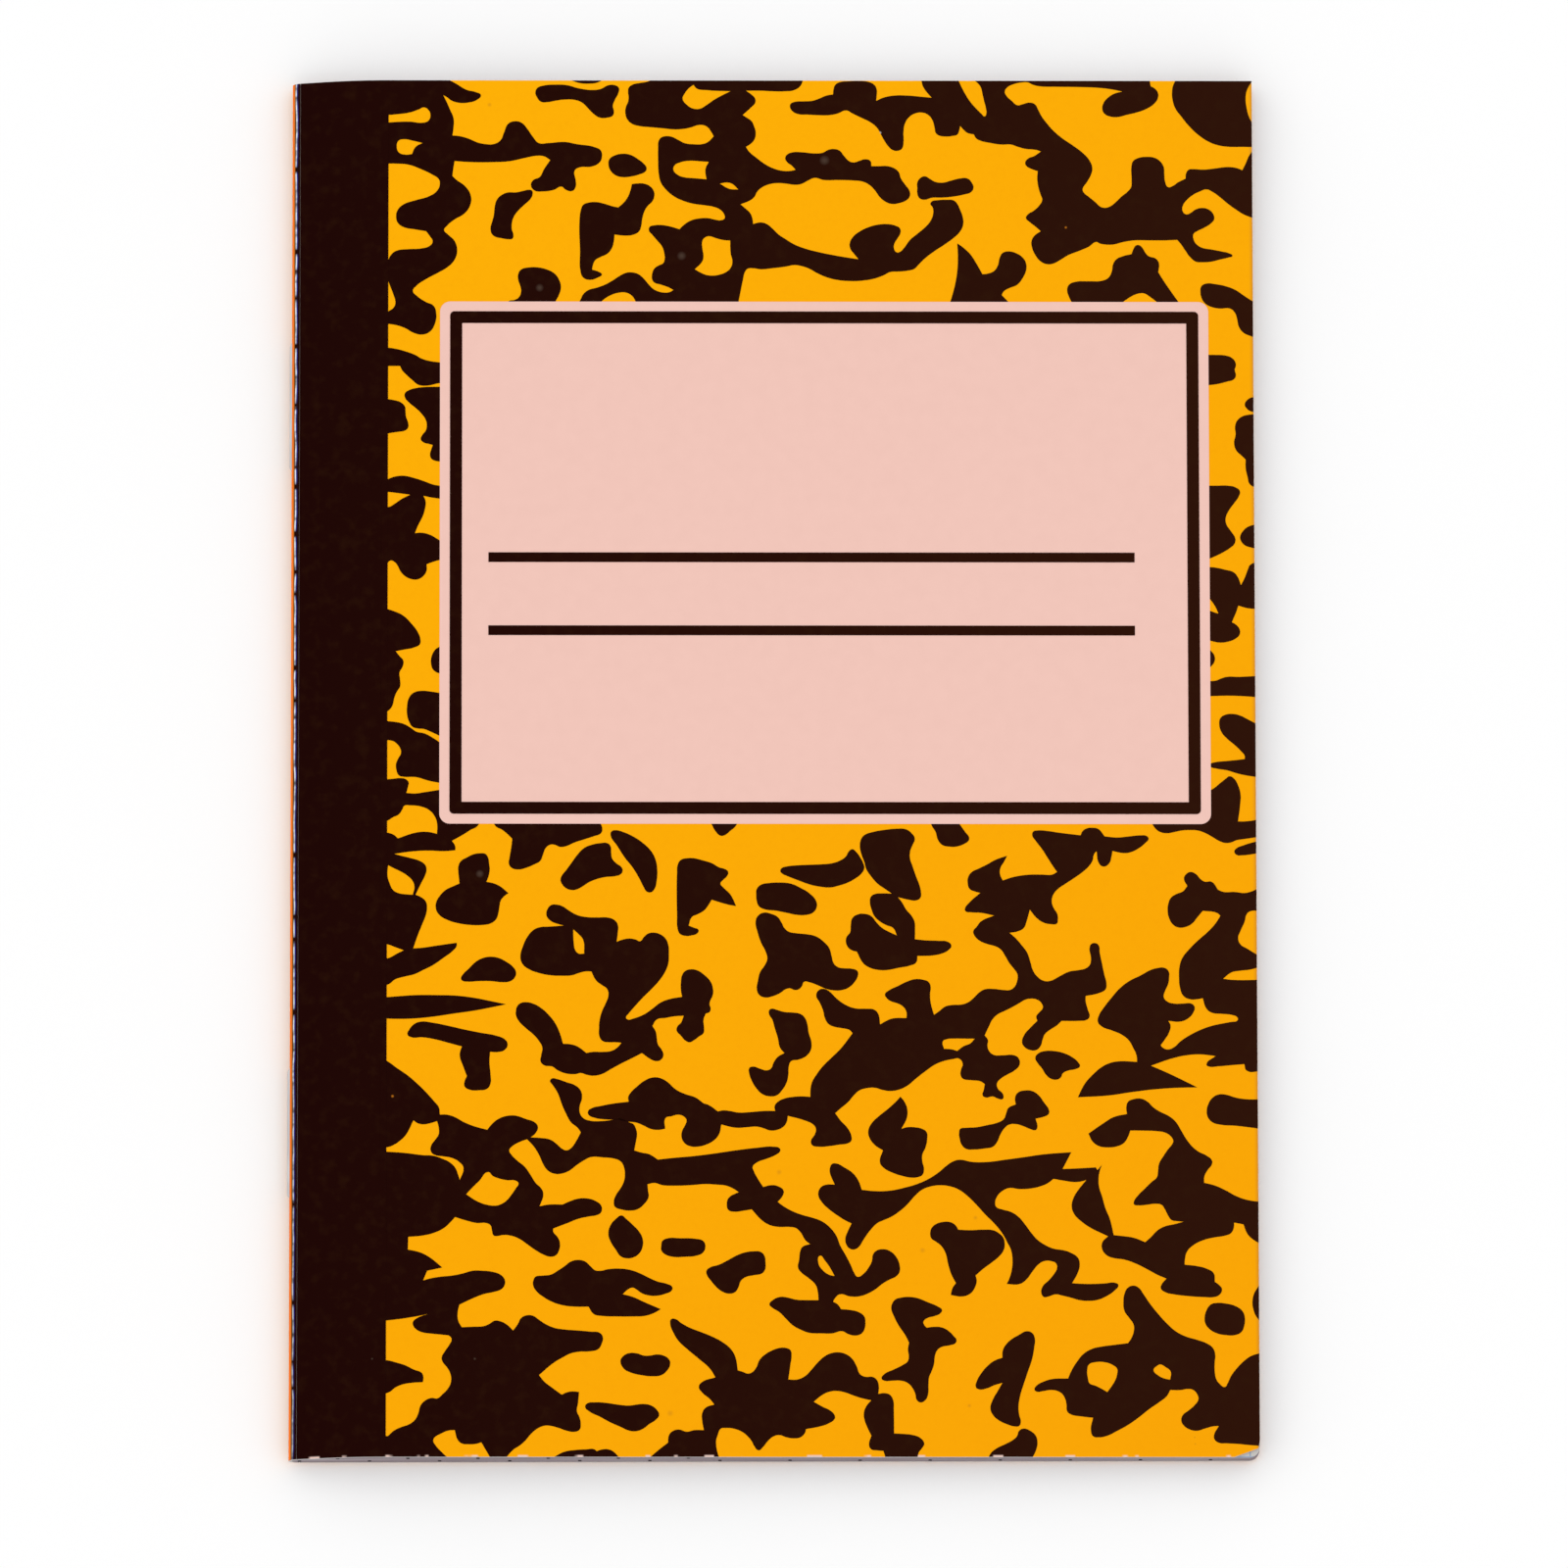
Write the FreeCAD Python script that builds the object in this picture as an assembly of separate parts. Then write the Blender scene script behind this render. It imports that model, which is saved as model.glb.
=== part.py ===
import FreeCAD, Part
import os
from math import cos, radians, sin

from FreeCAD import Vector

# A pocket composition notebook, closed and lying on its back cover: one printed card folded
# round a stack of folded sheets and stapled through the fold.
# While it is drawn, X runs from the spine to the fore-edge, Y from the tail to the head and
# Z from the back cover up. The last step moves the origin under the middle of the book.

# Card of the cover
cover_width = 88.0
cover_height = 128.0
card = 0.30

# Thickness of the closed book: pinched at the fold, fattest beside it, then falling to the fore-edge
fold_thickness = 1.90
belly_thickness = 3.20
fore_edge_thickness = 2.35
belly_from_spine = 9.0

# How steeply the front cover leaves its crease, and how far each end of its rise keeps its direction
crease_angle = 14.0
crease_pull = 3.0
belly_pull = 3.5

# Clearances at the two creases and between covers and pages
crease_gap = 0.05
page_gap = 0.08

# Corners of the trimmed book, and the tail corner of the fore-edge that is worn away
corner_radius = 0.30
worn_corner_radius = 1.00
worn_along_tail = 2.30
worn_along_fore_edge = 1.60
worn_bend_in = 0.12
worn_bend_up = 0.80

# Staples
staple_wire = 0.40
staple_crown = 12.0
staple_clinch = 4.6
staple_bend = 0.45
staple_sunk = 0.20
staple_depth = 2.20
staple_from_end = 30.2
staple_clearance = 0.02

# Print on the front cover
ink = 0.03
band_width = 8.85
label_left = 13.60
label_right_margin = 4.10
label_bottom = 58.45
label_height = 48.75
label_radius = 0.95
frame_inset = 0.92
frame_bar = 1.10
frame_radius = 0.40
line_left = 18.05
line_length = 59.0
line_bar = 0.90
line_heights = (76.45, 83.27)

# Values that follow from the ones above
crease = radians(crease_angle)
fold_radius = fold_thickness / 2
fold_inside = fold_radius - card
fold_centre = Vector(fold_radius, 0, fold_radius)
crease_along = Vector(cos(crease), 0, sin(crease))
crease_up = Vector(-sin(crease), 0, cos(crease))
label_width = cover_width - label_right_margin - label_left
staple_proud = staple_wire - staple_sunk
page_floor = card + page_gap
tall = 2 * belly_thickness
to_origin = Vector(-(cover_width - staple_proud) / 2, -cover_height / 2, 0)


def bow(depth, gap=0.0):
    """The front cover's profile from its crease to the fore-edge, at a depth below the printed face."""
    start = fold_centre + crease_up * (fold_radius - depth) + crease_along * gap
    top = Vector(belly_from_spine, 0, belly_thickness - depth)
    end = Vector(cover_width, 0, fore_edge_thickness - depth)
    falling = (end - top).normalize()
    rise = Part.BezierCurve()
    rise.setPoles([start, start + crease_along * crease_pull, top - falling * belly_pull, top])
    return [rise.toShape(), line(top, end)]


def first_point(edges):
    return edges[0].firstVertex().Point


def last_point(edges):
    return edges[-1].lastVertex().Point


def line(start, end):
    return Part.LineSegment(start, end).toShape()


def along_spine(edges):
    """The solid that a closed profile sweeps from tail to head."""
    wire = Part.Wire(Part.__sortEdges__(edges))
    return Part.Face(wire).extrude(Vector(0, cover_height, 0))


def round_corner(solid, y, radius):
    """Rounds the fore-edge corner at the head or the tail."""
    upright = [e for e in solid.Edges
               if all(abs(v.X - cover_width) < 1e-6 and abs(v.Y - y) < 1e-6 for v in e.Vertexes)]
    return solid.makeFillet(radius, upright)


def worn_corner():
    """What is missing from the front cover where its tail corner has worn off."""
    tail = 0.0
    beyond = 1.0
    outline = [
        Vector(cover_width - worn_along_tail, tail, 0),
        Vector(cover_width - worn_bend_in, worn_bend_up, 0),
        Vector(cover_width, worn_along_fore_edge, 0),
        Vector(cover_width + beyond, worn_along_fore_edge, 0),
        Vector(cover_width + beyond, tail - beyond, 0),
        Vector(cover_width - worn_along_tail, tail - beyond, 0),
    ]
    face = Part.Face(Part.makePolygon(outline + outline[:1]))
    return face.extrude(Vector(0, 0, tall))


def front_sheet(above, below):
    """The front cover's sheet between two depths under its printed face, trimmed and worn."""
    upper = bow(above, crease_gap)
    lower = bow(below, crease_gap)
    ends = [line(first_point(upper), first_point(lower)), line(last_point(upper), last_point(lower))]
    sheet = along_spine(upper + lower + ends)
    return round_corner(sheet, cover_height, corner_radius).cut(worn_corner())


def front_cover():
    return front_sheet(0.0, card)


def arc_of_fold(radius):
    """Half round from the back cover's crease over the fold to the front cover's."""
    bottom = fold_centre - Vector(0, 0, radius)
    middle = fold_centre - Vector(radius, 0, 0)
    top = fold_centre + crease_up * radius
    return Part.Arc(bottom, middle, top).toShape()


def cover_spine():
    """The strip of card between the two creases, bent round the fold."""
    outer = arc_of_fold(fold_radius)
    inner = arc_of_fold(fold_inside)
    ends = [line(outer.firstVertex().Point, inner.firstVertex().Point),
            line(outer.lastVertex().Point, inner.lastVertex().Point)]
    strip = along_spine([outer, inner] + ends)
    return strip.cut(staples(staple_clearance))


def back_cover():
    """The flat half of the card that the book lies on."""
    left = fold_radius + crease_gap
    plate = Part.makeBox(cover_width - left, cover_height, card, Vector(left, 0, 0))
    plate = round_corner(plate, cover_height, corner_radius)
    return round_corner(plate, 0.0, worn_corner_radius)


def page_block():
    """All the folded sheets as one solid, round at the fold and trimmed at the other three edges."""
    nose = arc_of_fold(fold_inside)
    top = bow(page_floor)
    fore_edge_foot = Vector(cover_width, 0, page_floor)
    crease_foot = Vector(fold_radius, 0, page_floor)
    sides = [
        line(nose.lastVertex().Point, first_point(top)),
        line(last_point(top), fore_edge_foot),
        line(fore_edge_foot, crease_foot),
        line(crease_foot, nose.firstVertex().Point),
    ]
    block = along_spine([nose] + top + sides)
    block = round_corner(block, cover_height, corner_radius)
    block = round_corner(block, 0.0, worn_corner_radius)
    return block.cut(staples(staple_clearance))


def staple(y, clearance):
    """One wire staple: its crown across the fold, its legs through it and folded flat inside."""
    crown_x = staple_wire / 2 - staple_proud
    half = staple_crown / 2
    corners = [
        Vector(staple_depth, y - half + staple_clinch, fold_radius),
        Vector(staple_depth, y - half, fold_radius),
        Vector(crown_x, y - half, fold_radius),
        Vector(crown_x, y + half, fold_radius),
        Vector(staple_depth, y + half, fold_radius),
        Vector(staple_depth, y + half - staple_clinch, fold_radius),
    ]
    path = bent_wire(corners, staple_bend)
    start = corners[0]
    section = Part.Wire(Part.Circle(start, Vector(0, 1, 0), staple_wire / 2 + clearance).toShape())
    return path.makePipeShell([section], True, False)


def bent_wire(corners, radius):
    """Straight runs between the corners, with a round bend at each inner corner."""
    edges = []
    here = corners[0]
    for before, corner, after in zip(corners, corners[1:], corners[2:]):
        back = (before - corner).normalize()
        ahead = (after - corner).normalize()
        bend_in = corner + back * radius
        bend_out = corner + ahead * radius
        middle = corner + (back + ahead) * radius * (1 - cos(radians(45)))
        edges.append(line(here, bend_in))
        edges.append(Part.Arc(bend_in, middle, bend_out).toShape())
        here = bend_out
    edges.append(line(here, corners[-1]))
    return Part.Wire(edges)


def staples(clearance=0.0):
    places = (staple_from_end, cover_height - staple_from_end)
    return Part.makeCompound([staple(y, clearance) for y in places])


def upright_block(left, bottom, width, height, radius=0.0):
    """A block over a rectangle of the cover, with its upright edges rounded if a radius is given."""
    block = Part.makeBox(width, height, tall, Vector(left, bottom, 0))
    if radius:
        upright = [e for e in block.Edges if abs(e.Vertexes[0].Z - e.Vertexes[1].Z) > tall / 2]
        block = block.makeFillet(radius, upright)
    return block


def printed(blocks, layer):
    """What upright blocks cut out of a film of ink on the front cover, which lies that many films up."""
    film = front_sheet(-ink * (layer + 1), -ink * layer)
    return Part.makeCompound([solid for block in blocks for solid in film.common(block).Solids])


def spine_band():
    return printed([upright_block(0, 0, band_width, cover_height)], 0)


def label_panel():
    return printed([upright_block(label_left, label_bottom, label_width, label_height, label_radius)], 0)


def label_frame():
    left = label_left + frame_inset
    bottom = label_bottom + frame_inset
    width = label_width - 2 * frame_inset
    height = label_height - 2 * frame_inset
    outside = upright_block(left, bottom, width, height, frame_radius)
    inside = upright_block(left + frame_bar, bottom + frame_bar, width - 2 * frame_bar, height - 2 * frame_bar)
    return printed([outside], 1).cut(inside)


def label_lines():
    """The two lines to write on."""
    return printed([upright_block(line_left, y - line_bar / 2, line_length, line_bar) for y in line_heights], 1)


def save(name, shape):
    placed = shape.copy()
    placed.translate(to_origin)
    placed.exportStep(f"parts/{name}.step")
    print(name, len(placed.Solids), "solid(s)", round(placed.Volume, 3), "mm3", placed.isValid())


os.makedirs("parts", exist_ok=True)
save("front_cover", front_cover())
save("cover_spine", cover_spine())
save("back_cover", back_cover())
save("page_block", page_block())
save("staples", staples())
save("spine_band", spine_band())
save("label_panel", label_panel())
save("label_frame", label_frame())
save("label_lines", label_lines())
print("front hinge line x, z", fold_centre + crease_up * (fold_radius + 2 * ink) + to_origin)
print("back hinge line x, z", Vector(fold_radius, 0, -2 * ink) + to_origin)
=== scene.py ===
import math

import bpy
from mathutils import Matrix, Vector


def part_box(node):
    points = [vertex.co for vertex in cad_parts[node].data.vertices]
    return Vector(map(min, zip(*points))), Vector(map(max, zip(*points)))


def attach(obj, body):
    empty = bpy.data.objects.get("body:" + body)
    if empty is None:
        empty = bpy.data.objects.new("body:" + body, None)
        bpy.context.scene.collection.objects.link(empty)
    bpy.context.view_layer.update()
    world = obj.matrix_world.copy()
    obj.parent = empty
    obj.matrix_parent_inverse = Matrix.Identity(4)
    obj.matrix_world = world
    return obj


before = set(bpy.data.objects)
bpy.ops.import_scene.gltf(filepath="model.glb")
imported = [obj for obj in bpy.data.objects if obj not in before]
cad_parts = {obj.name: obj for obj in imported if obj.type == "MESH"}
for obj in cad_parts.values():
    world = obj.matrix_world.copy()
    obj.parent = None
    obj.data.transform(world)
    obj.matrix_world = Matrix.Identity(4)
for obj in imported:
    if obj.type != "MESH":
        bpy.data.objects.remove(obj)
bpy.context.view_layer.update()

mm = 0.001

# The printed face of the front cover, in mm: its size, its height over the table beside the fold
# and at the fore-edge, and the two ends of the edge along which its tail corner has worn off
cover_width = 88.0
cover_height = 128.0
belly_height = 3.20
belly_from_spine = 9.0
fore_edge_height = 2.35
worn_corner_foot = (87.88, 0.80)
worn_corner_top = (88.0, 1.60)

# The marbling's film of ink, in mm, and how finely the curves of its outlines are drawn
film_sunk = 0.004
film_thickness = 0.018
curve_steps = 5
join_within = 1e-4

# Each paragraph walks round one black shape of the marbling, from point to point, in steps of so many
# tenths of a millimetre along x and y. The first step is from the corner of the spine and the tail. A
# star marks a sharp corner, and the line runs smoothly through the other points. Shapes that reach the
# band, the label or a trimmed edge run on past it.
tenths_in_mm = 10
sharp_mark = "*"
black_shapes = """
82 1283* 57 0* 11 -6 10 -6 8 -2 5 -3 -3 -4 -9 -3 -9 0 -6 2 -4 3 -3.5 2* 2.5 -5 3.5 -8 3.5 -9 0 -8 -1 -8*
6 -0.5 9 -2.5 8 -3.5 7 -1.5 8 0 6 3.5 3.5 8 3.5 7.5 6 2.5 6.5 -1.5 5 -5.5 5.5 -8 5 -5.5 9 0 15 1 11 -2 17 -3
5 -3 1 -6 -2 -5 -7 -4 -12 -1 -4 -3 1 -9 0 -6 -3 -4 -6 1 -4 3 -7 -3 -10 -1.5 -8 1 -3 5 2 4.5 6 3 4 7.5
5.7 8.5* -5.7 3.5 -7 0.5 -10.5 -2 -13.5 -3 -17 -1 -18 0 -16 1* -1 -6 -1 -8* 3.5 -3.5 8.5 -6.5 5 -9 -0.5 -8
-5 -8 -9.5 -6 -7 -6 -2.5 -4 3.5 -4 6 -6 2.5 -9 -2.5 -9 -6 -6.5 -9 -5.5 -11 -6 -9 -6.5 -3 -4.5 4 -5 8 -5.5
7 -3.5 2.5 -8 -1 -8 -4.5 -8 -7 -3 -8 1.5 -8 4.5 -9 3 -13 1.5*

252 1283* 8 -4.5 12 -1.5 9 1.5 6 4.5*

223 1269 2 4 5 2 12 1 10 -0.5 11 -3 13 -1.5 7 1 7 3.5 6 0 3.5 -2.5 -0.5 -5 -3 -6 -2 -6 1 -5 -1 -4 -5 -2 -7 0
-5 3 -5 5 -6 6 -6 2.5 -10 0.5 -8 -1 -8 -1.5 -6 0.5 -3.5 4

220 1176.2 0.5 -3.2 -1.5 -4 -6 -6 -6 -6 -4 -6 -1.5 -6 0 -5 1.5 -6 -1 -3 -3 -0.5 -7 1 -6 1.5 -3 3 -1 5 1.5 6
1.5 6 1 9 2 6 4 4 6 2.5 7 0 7 1.5 5 1

240 1069* 2 4 3 6 1.5 7 -1.5 6 -4 6 -7 4 -8 2 -9 0 -7 -2 -2.5 -4 0 -6 2 -6 0.5 -5 -2 -5 -4 -2.5 -5 -1
-2 -3.5*

265 1159 2 4 5 2 7 0.5 7 -1.5 8 -2.5 5 -1* 4 3.5 4 5 3 7 1.5 6.5* 4.5 0.5 6 0 6 -2.5 3.5 -4.5 0.5 -5 -2 -5
-4 -4 -3 -5 -2 -7 -1 -7 -2 -5 -5 -3 -7 -1 -10.5 1* -0.5 -6 -2 -7 -4 -5 -6 -3 -5 -3 -2 -4 -1 -5* 6 -2 3 -2.5
-3 -2.5 -9 -2.5 -5.5 2.5 -2 5 -0.5 20 -0.5 28

262 1069* 2.5 5 2.5 5 5 4 7 2 8 3 7 4 6 4 6 3 5 0.5 6 -1.5 5 -4 5 -6 4 -4 5 -2.5 6 -1 4 0.5 3.5 2* -4.5 2.5
-7 2.5 -6 2 -2 3 0 5 2 5 4 3 4 2 1.5 4 -0.5 6 -2 6 -4 5 -5 6 -3 4 1 3.5 3 1 7 0.5 9 -1.5 8 -2.5* 4 4 6 4 7 2
9 0.5 7 -1.5 5 -0.5 3.5 2 -0.5 3.5 -3 4 -6 3 -8 1.5 -11 1.5 -10 3 -8 4 -7 6 -5 7 -2 9 -0.5 12 0 11 0.5 7 2 3
4 1.5 6 -0.5 6 -3 6 -3 8 -1 7 0 6 2 5.5 5.5* -2.5 4.5 -3 4 -4 2 -5 0 -6 -2 -7 -1.5 -9 -0.5 -10 1 -11 1 -10 1
-7 2 -4.5 4 -2 6 0.5 6 2 5 0.5 4 -0.5 5 0.5 4 3.5 3 6 1.5 8 1.5 8 4* 135 0* -3 -8 -6 -4 -8 -1 -12 0 -10 0.5
-14 0* 5 -3.5 3.5 -4 0 -4 -3.5 -4 -8 -7.5* 4 -2.5 4 -3 2.5 -5 1.5 -6 -1 -6 -3 -4 -5 -3.5* 3 -4.5 7 -6 8 -6
8 -4 8 -2 7 0 4.5 1* -3.5 4 -4 3 -2 4 2 3.5 5 2 9 0 10 -1 8 0.5 6 3 6 0.5 4 -1.5 4 -5 5 -5 4 -1 5 1.5 5 1.5
5 -1.5 1 -5* 7 0 8 0 6 -2 4 -3.5 2 -6 4 -6 4 -6 0 -5 -3 -3.5 -6 -2.5 -7 -1 -6 2 -5 4 -5 7 -5 5 -6 3 -8 1
-15 0.5 -13 0 -8 2 -6 -2.5 -7 -3.5 -6 -0.5 -7 1 -9 0.5 -8 -1.5 -6 -3 -4 -4 -2 -4 -3 -3 -10 -4.5* 4 -3.5 5 -5
2 -5.5 0.5 -4.5* 3.5 1 4 0.5 5 -1.5 5 -4 6 -6 6 -4 8 -5 10 -4 11 -3 14 -3 11 -2 13 -2* -4 5 -3.5 5 -0.5 5
3 6 6 5 8 4 9 2.5 9 0.5 7 -1.5 4 -2.5 0.5 -4 -2.5 -5 -3 -5 -0.5 -5 2.5 -3.5 3 0.5 4 4 5 7 7 6 7 6 5 6 2.5 7
-0.5 6 -2 3 1.5 2.5 4.5 1 9 0.5 6 -0.5 3 -2.5 3 -6 2.5 -7 0.5 -7 -3 -7 -6 -6 -8 -6 -9 -6 -9 -7 -6 -6 -4 -4
-5 -1.5 -9 -1 -8 -0.5 -6 -3 -8 -3 -11 -2 -10 -0.5 -13 1 -10 2.5 -9 4 -7 4 -7 2.5 -7 1 -8 -1.5 -12 -1.5
-10 -1 -8 1 -4.5 -0.5 -2.5 -3 -2 -8 -2 -10 -2.5 -13* -92.5 0* -2 5 -3 4 -5 2.5 -6 0 -8 -2.5 -7 -4.5 -4 -4.5*

290 1201 1 5 5 3.5 7 1.5 7 -1 7 -4 6 -5 2 -3.5 -1 -3 -6 -3 -8 -2 -7 -0.5 -6 1.5 -5 4.5

457 1258 4 2 8 0.5 8 0.5 6 2 7 3 6 1* 0.5 5 1.5 4 4 2.5 8 1 10 0.3 8 -0.8 6 -3 2 -4 0 -6 -0.5 -5* 6.5 3 10 2
13 0 11 -1 10.5 -1* -3.5 4 -3 4 -2 4 -1 7* 33 0* 3 -7 4 -8 5 -8 6 -7 4 -4 3 -2.5 1.5 2.5 -0.5 6 -1.5 6
-1.5 7 -1.5 6 -3.5 4.5 -6 4.5* 164 0* 1.5 -8* 3.5 -2 3 -4 0 -5 -3 -5 -7 -5 -9 -3.5 -10 -2.5 -8 -2 -7 0.5
-5 2.5 -2 4 1 6 4 5 6 4 7.5 2* -9.5 2 -12 1.5 -17 0.7 -23 0.3 -15 0.5 -6 1.5 -4 2 -6 0 -7 -1.5 -6 -3 -2.5 -4
1.5 -4 5 -5 5 -4 5 1 6 1.5 5 -1.5 3 -5 3 -6 5 -7 6 -7 8 -7 10 -7 9 -7 6 -7 2.5 -7 -1.5 -7 -4 -7 -3.5 -6 1 -3
4.5 -4 6 -5 5 -4.5 4 -1 5 1.5 5 4 5 5 6 5 3 4 0.5 6 0 14 1.5 4.5 5 3 7 1 8 -1 5 -3.5 3 -5 0.5 -7 1 -8 2.5 -4
4 1 5 3.5 7 3.5* 0.5 5 2.5 3.5 4 0.5 9 -0.5 10 1 13 1.5 8 -1 5 -2* 3 6 3 7 7 10* 0 -69* -11 4 -8 5 -8 6 -7 6
-7 5 -5 2 -6 -2 -6 -3 -6 -5 -3.5 -5 -0.5 -5 3 -3.5 4 1 5 3.5 6 1.5 6 -1.5 4 -4 1 -5 -3 -4 -6 -4 -6 -3 -4 -3
0 -5 3 -5 5 -3 8 -1.5 10 -2 6 -1.5 3.5 -2.5 -3.5 -1.5 -8 -2 -8 -2 -8 -0.5 -6 0.5 -5 4 -5 7 -4 6 -3 3.5*
-11 -0.5 -15 0 -13 0 -10 -1.5 -10 -2.5 -6 0 -6 1 -3 1.5 -7 -4.5 -9 -4 -10 -4 -8 -5 -6 -3 -5 -0.5 -6 2.5 -5 6
-3 7 -0.5 6 2.5 5 6 4.5* -5 4.5 -5 4 -3.5 4 1.5 3 6 4 5 5 2.5 5 -1.5 5 -2 7 -1 8 0.5 7* -5.5 2 -5 3 -1 3 3 4
5 2 6.5 4.5* -4.5 1.5 -10 1 -7 2 -6 2 -9 0 -10 1.5 -10 2.5 -3 2 -2 3.5* -6 1.5 -3 2.5 -3.5 4* -1 -4.5
-1.5 -3.5 -5 -1.5 -6 -0.5 -6 1 -3 2.5 -1 5 -2 7 -4 5 -5 2 -6 -0.5 -6 -3.5 -4 -6 -1.5 -8 0 -10 -1.5 -6 -4 -2
-5 1 -4 4 -5 8 -2 4 -3 5 -6 5 -8 4 -8 4 -6 3 -8 -3 -8 -1.5 -9 0 -10 0.5 -9 0.5 -5 2.5 -2.5 4

573 1179 0 5 3 4.5 4 1.5 4 -2 5 -3 7 -1 8 2 8 2 7 0 4 -4 1.5 -5 -2.5 -4 -6 -2 -10 -2 -11 -1 -8 0 -8 -2
-4 1.5 -2 4.5

602 1069* 3 10 2.5 10 2 13 0.5 13 -0.5 12* 5.5 -4 7 -7 5 -8 5.5 -10* 4.5 0.5 6 2.5 3.5 5 2 8 2.5 4 5 1.5
7 -1.5 7 -5 2.5 -5 0 -6 -3.5 -8 -5 -6 -7 -3 -5 -3 -2 -3.5* 9 -9.5*

716 1069* -4 7 -2 8 2 4.5 6 2.5 12 0.5 12 0.5 6 3 3 6 1 6 3 5 6 3 8 2* 2 5 2 3 3 0.5 3 -2.5 3 -5 3 -3 6 -2
3 -4 -0.5 -9* 5.5 -9 6 -9 9 -13* -18 0* -5 4 -6 4.5 -4 2.5 -6 0 -5 -2 -5 -3 -8 -6*

812 1283* -3.5 -6 -1.5 -7 0.5 -8 2.5 -8 5 -7 7 -9 8 -8 10 -7 9 -3.5 11 -1.5 10 0 14 0* 0 17* -6 10 -2.5 9
-1 10 1.5 8 7 11*

832 1082 1 5 5 2.5 7 -0.5 10 -2 9 -3.5 8 -5.5 12 -8* 0 -31.5* -7 2 -6 3 -4 5.5 -1.5 7 -2 6 -4.5 4 -9 0
-8 1.5 -6 3.5 -3 5

82 1029.5* 14 -2 9 -2.5 9 -3.5 4 -2.5 7 -2.5 14 -2* 0 -18.5* -6 -1 -6 -1.5 -6 -0.5 -5 1 -5 4 -6 5.5 -4 4.5
-1.5 3.5* -17.5 0*

139 992* -11 0 -6 -0.2 -7 -0.8 -7 -2 -4 -3 0 -4 4 -5 6 -5 5 -5 4 -6 1 -5 -1 -5 -3 -4 -1.5 -4 2.5 -3 5 -1.5
3.5 -1* -1.5 -4.5 -1 -4 1 -4 3 -2 8 -1*

82 981* 12 -1.5 6 -2 4 -4 0.5 -4.5 0.5 -5 2 -6 0 -4 -3 -3 -5 -1 -7 -1 -10 -2*

82 902* 10 5 6 1.5 7 0 8 -2 9 -3 8 -3 9 -1.5* 0 -12* -11 1.5 -7 1.5* 2 -5 -0.5 -7 -2.5 -8 -4 -8 -2.7 -7*
5.7 0.5 7 -1.5 5 -2.5 8 -5.5* 0 -15* -10 -3 -5 -2* 0 -6 -3 -5 -5 -3 -5 0 -6 2.5 -4.5 4.5 -2.5 5 -3 4 -4 1.5
-3 -3 -6 -6.5*

82 786* 13 -4 8 -4 7 -7 6 -8 2.5 -7 -0.5 -4.5 -5 -3 -9 -2 -8 -1.5* 3 -4 4 -5 -0.5 -5 -3 -6 0.5 -6 0 -7 -3 -5
-2 -5 -2 -8 -3 -4 -8 -5*

139 750* -5 -2 -3 -3 -2.5 -6 0 -7 1.5 -4 4 -3 5 -1*

139 705.5* -12 2 -8 0.5 -7 -2 -4 -5 -1.5 -7 0 -8 2 -7 3 -4.5 4.5 -1.5 6 -0.5 6 -2.5 11 -5*

82 680* 14 -1 8 -2 6 -3.5 5 -3.5 7 -1.5 7 -3.5 10 -7* 0 -36* -13 2.5 -10 3 -5 0.5 -7 0 -5 1.5 -2 4.5 -0.5 6
2 5 2.5 5 -0.5 4 -3.5 5 -4 2.5 -11 0.5*

837 1022.5* 8 0 9 -0.5 6 -2 3.5 -4 0.5 -4 -1 -3 1 -6 -2 -3.5 -6 -2 -10 -2.5 -9 -1*

884 983* -6 -0.5 -4 -2.5 -2 -4 2 -4 4 -2.5 6 -0.5*

884 967* -8 -0.5 -6 -1.5 -5 -4 -2 -6 0.5 -7 -1.5 -8 2 -7 5 -5 3.5 -3.5* 0 -8.5 1.5 -7 2.5 -8 7.5 -3*

837 900* 9 0 10 0 7 -1.5 4 -3.5 -1 -5 -4 -6 -5 -7 -3 -7 0.5 -6 4.5 -7 3.5 -6 -0.5 -5 -4 -4 -7 -4.5 -7 -3.5
-7 -3*

884 864* -9 -2 -5 -4 -3 -6 1 -4 3 -3.5 5 -2 8 -1.5*

837 824* 7 -0.5 9 -2 8 -2.5 4 -5 2.5 -7* 3.5 7 3 8 2 4 8 3* 0 -44* -10 0.5 -9 2.5* -2 -6 -4 -9.5* 4 -2.5
3 -4 0 -5 -4 -4 -6 -2.5 -8 -1 -6 1 -5 1.5* 0 28* 5 -2 4.8 -1.5* -2.8 6.5 -7 10*

837 748* 3.5 -3 2.5 -4 0 -5 -2.5 -4 -3.5 -3*

837 717.5* 7 0.5 5 2 5 1.5 11 0 19 1* 0 -20* -14 1 -15 0.5 -18 -0.5*

884 676* -11 6 -7 3.5 -7 1.5 -7 -1 -4 -3 -1 -6 2 -7 5 -6 7 -6 6 -6 3 -4 0 -3* -8 -1 -10 -1 -9 -1 -4 -1.5
-0.5 -2 6.5 -2.5 9 -1.5 8 -2.5 8 -2 14 -2*

82 625* 12 1.2 6 0.6 5 -0.8 3 -3 -0.5 -4 -1.5 -6* 8 -0.5 9 1.3 17 2.7* 10 -28.5* 23 -2* -3 -4.5 -5 -2.5
-7 -4.5 -10.5 -6* 2.5 -3.5 0.8 -3 -0.3 -2.2* -9.5 -0.8 -15 0.5 -15 -0.8 -16 -2.3* 5 -1.4 10 -2.5 8 -2.5
5 -3.5 1.5 -4.5 -1.5 -6 -3 -6 -5.5 -11.5* 5.5 -2.5 4 -4 1 -5 -1 -7 -3 -8 -4 -10 -4.5 -13.3* 9.5 0.8 13 2
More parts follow.
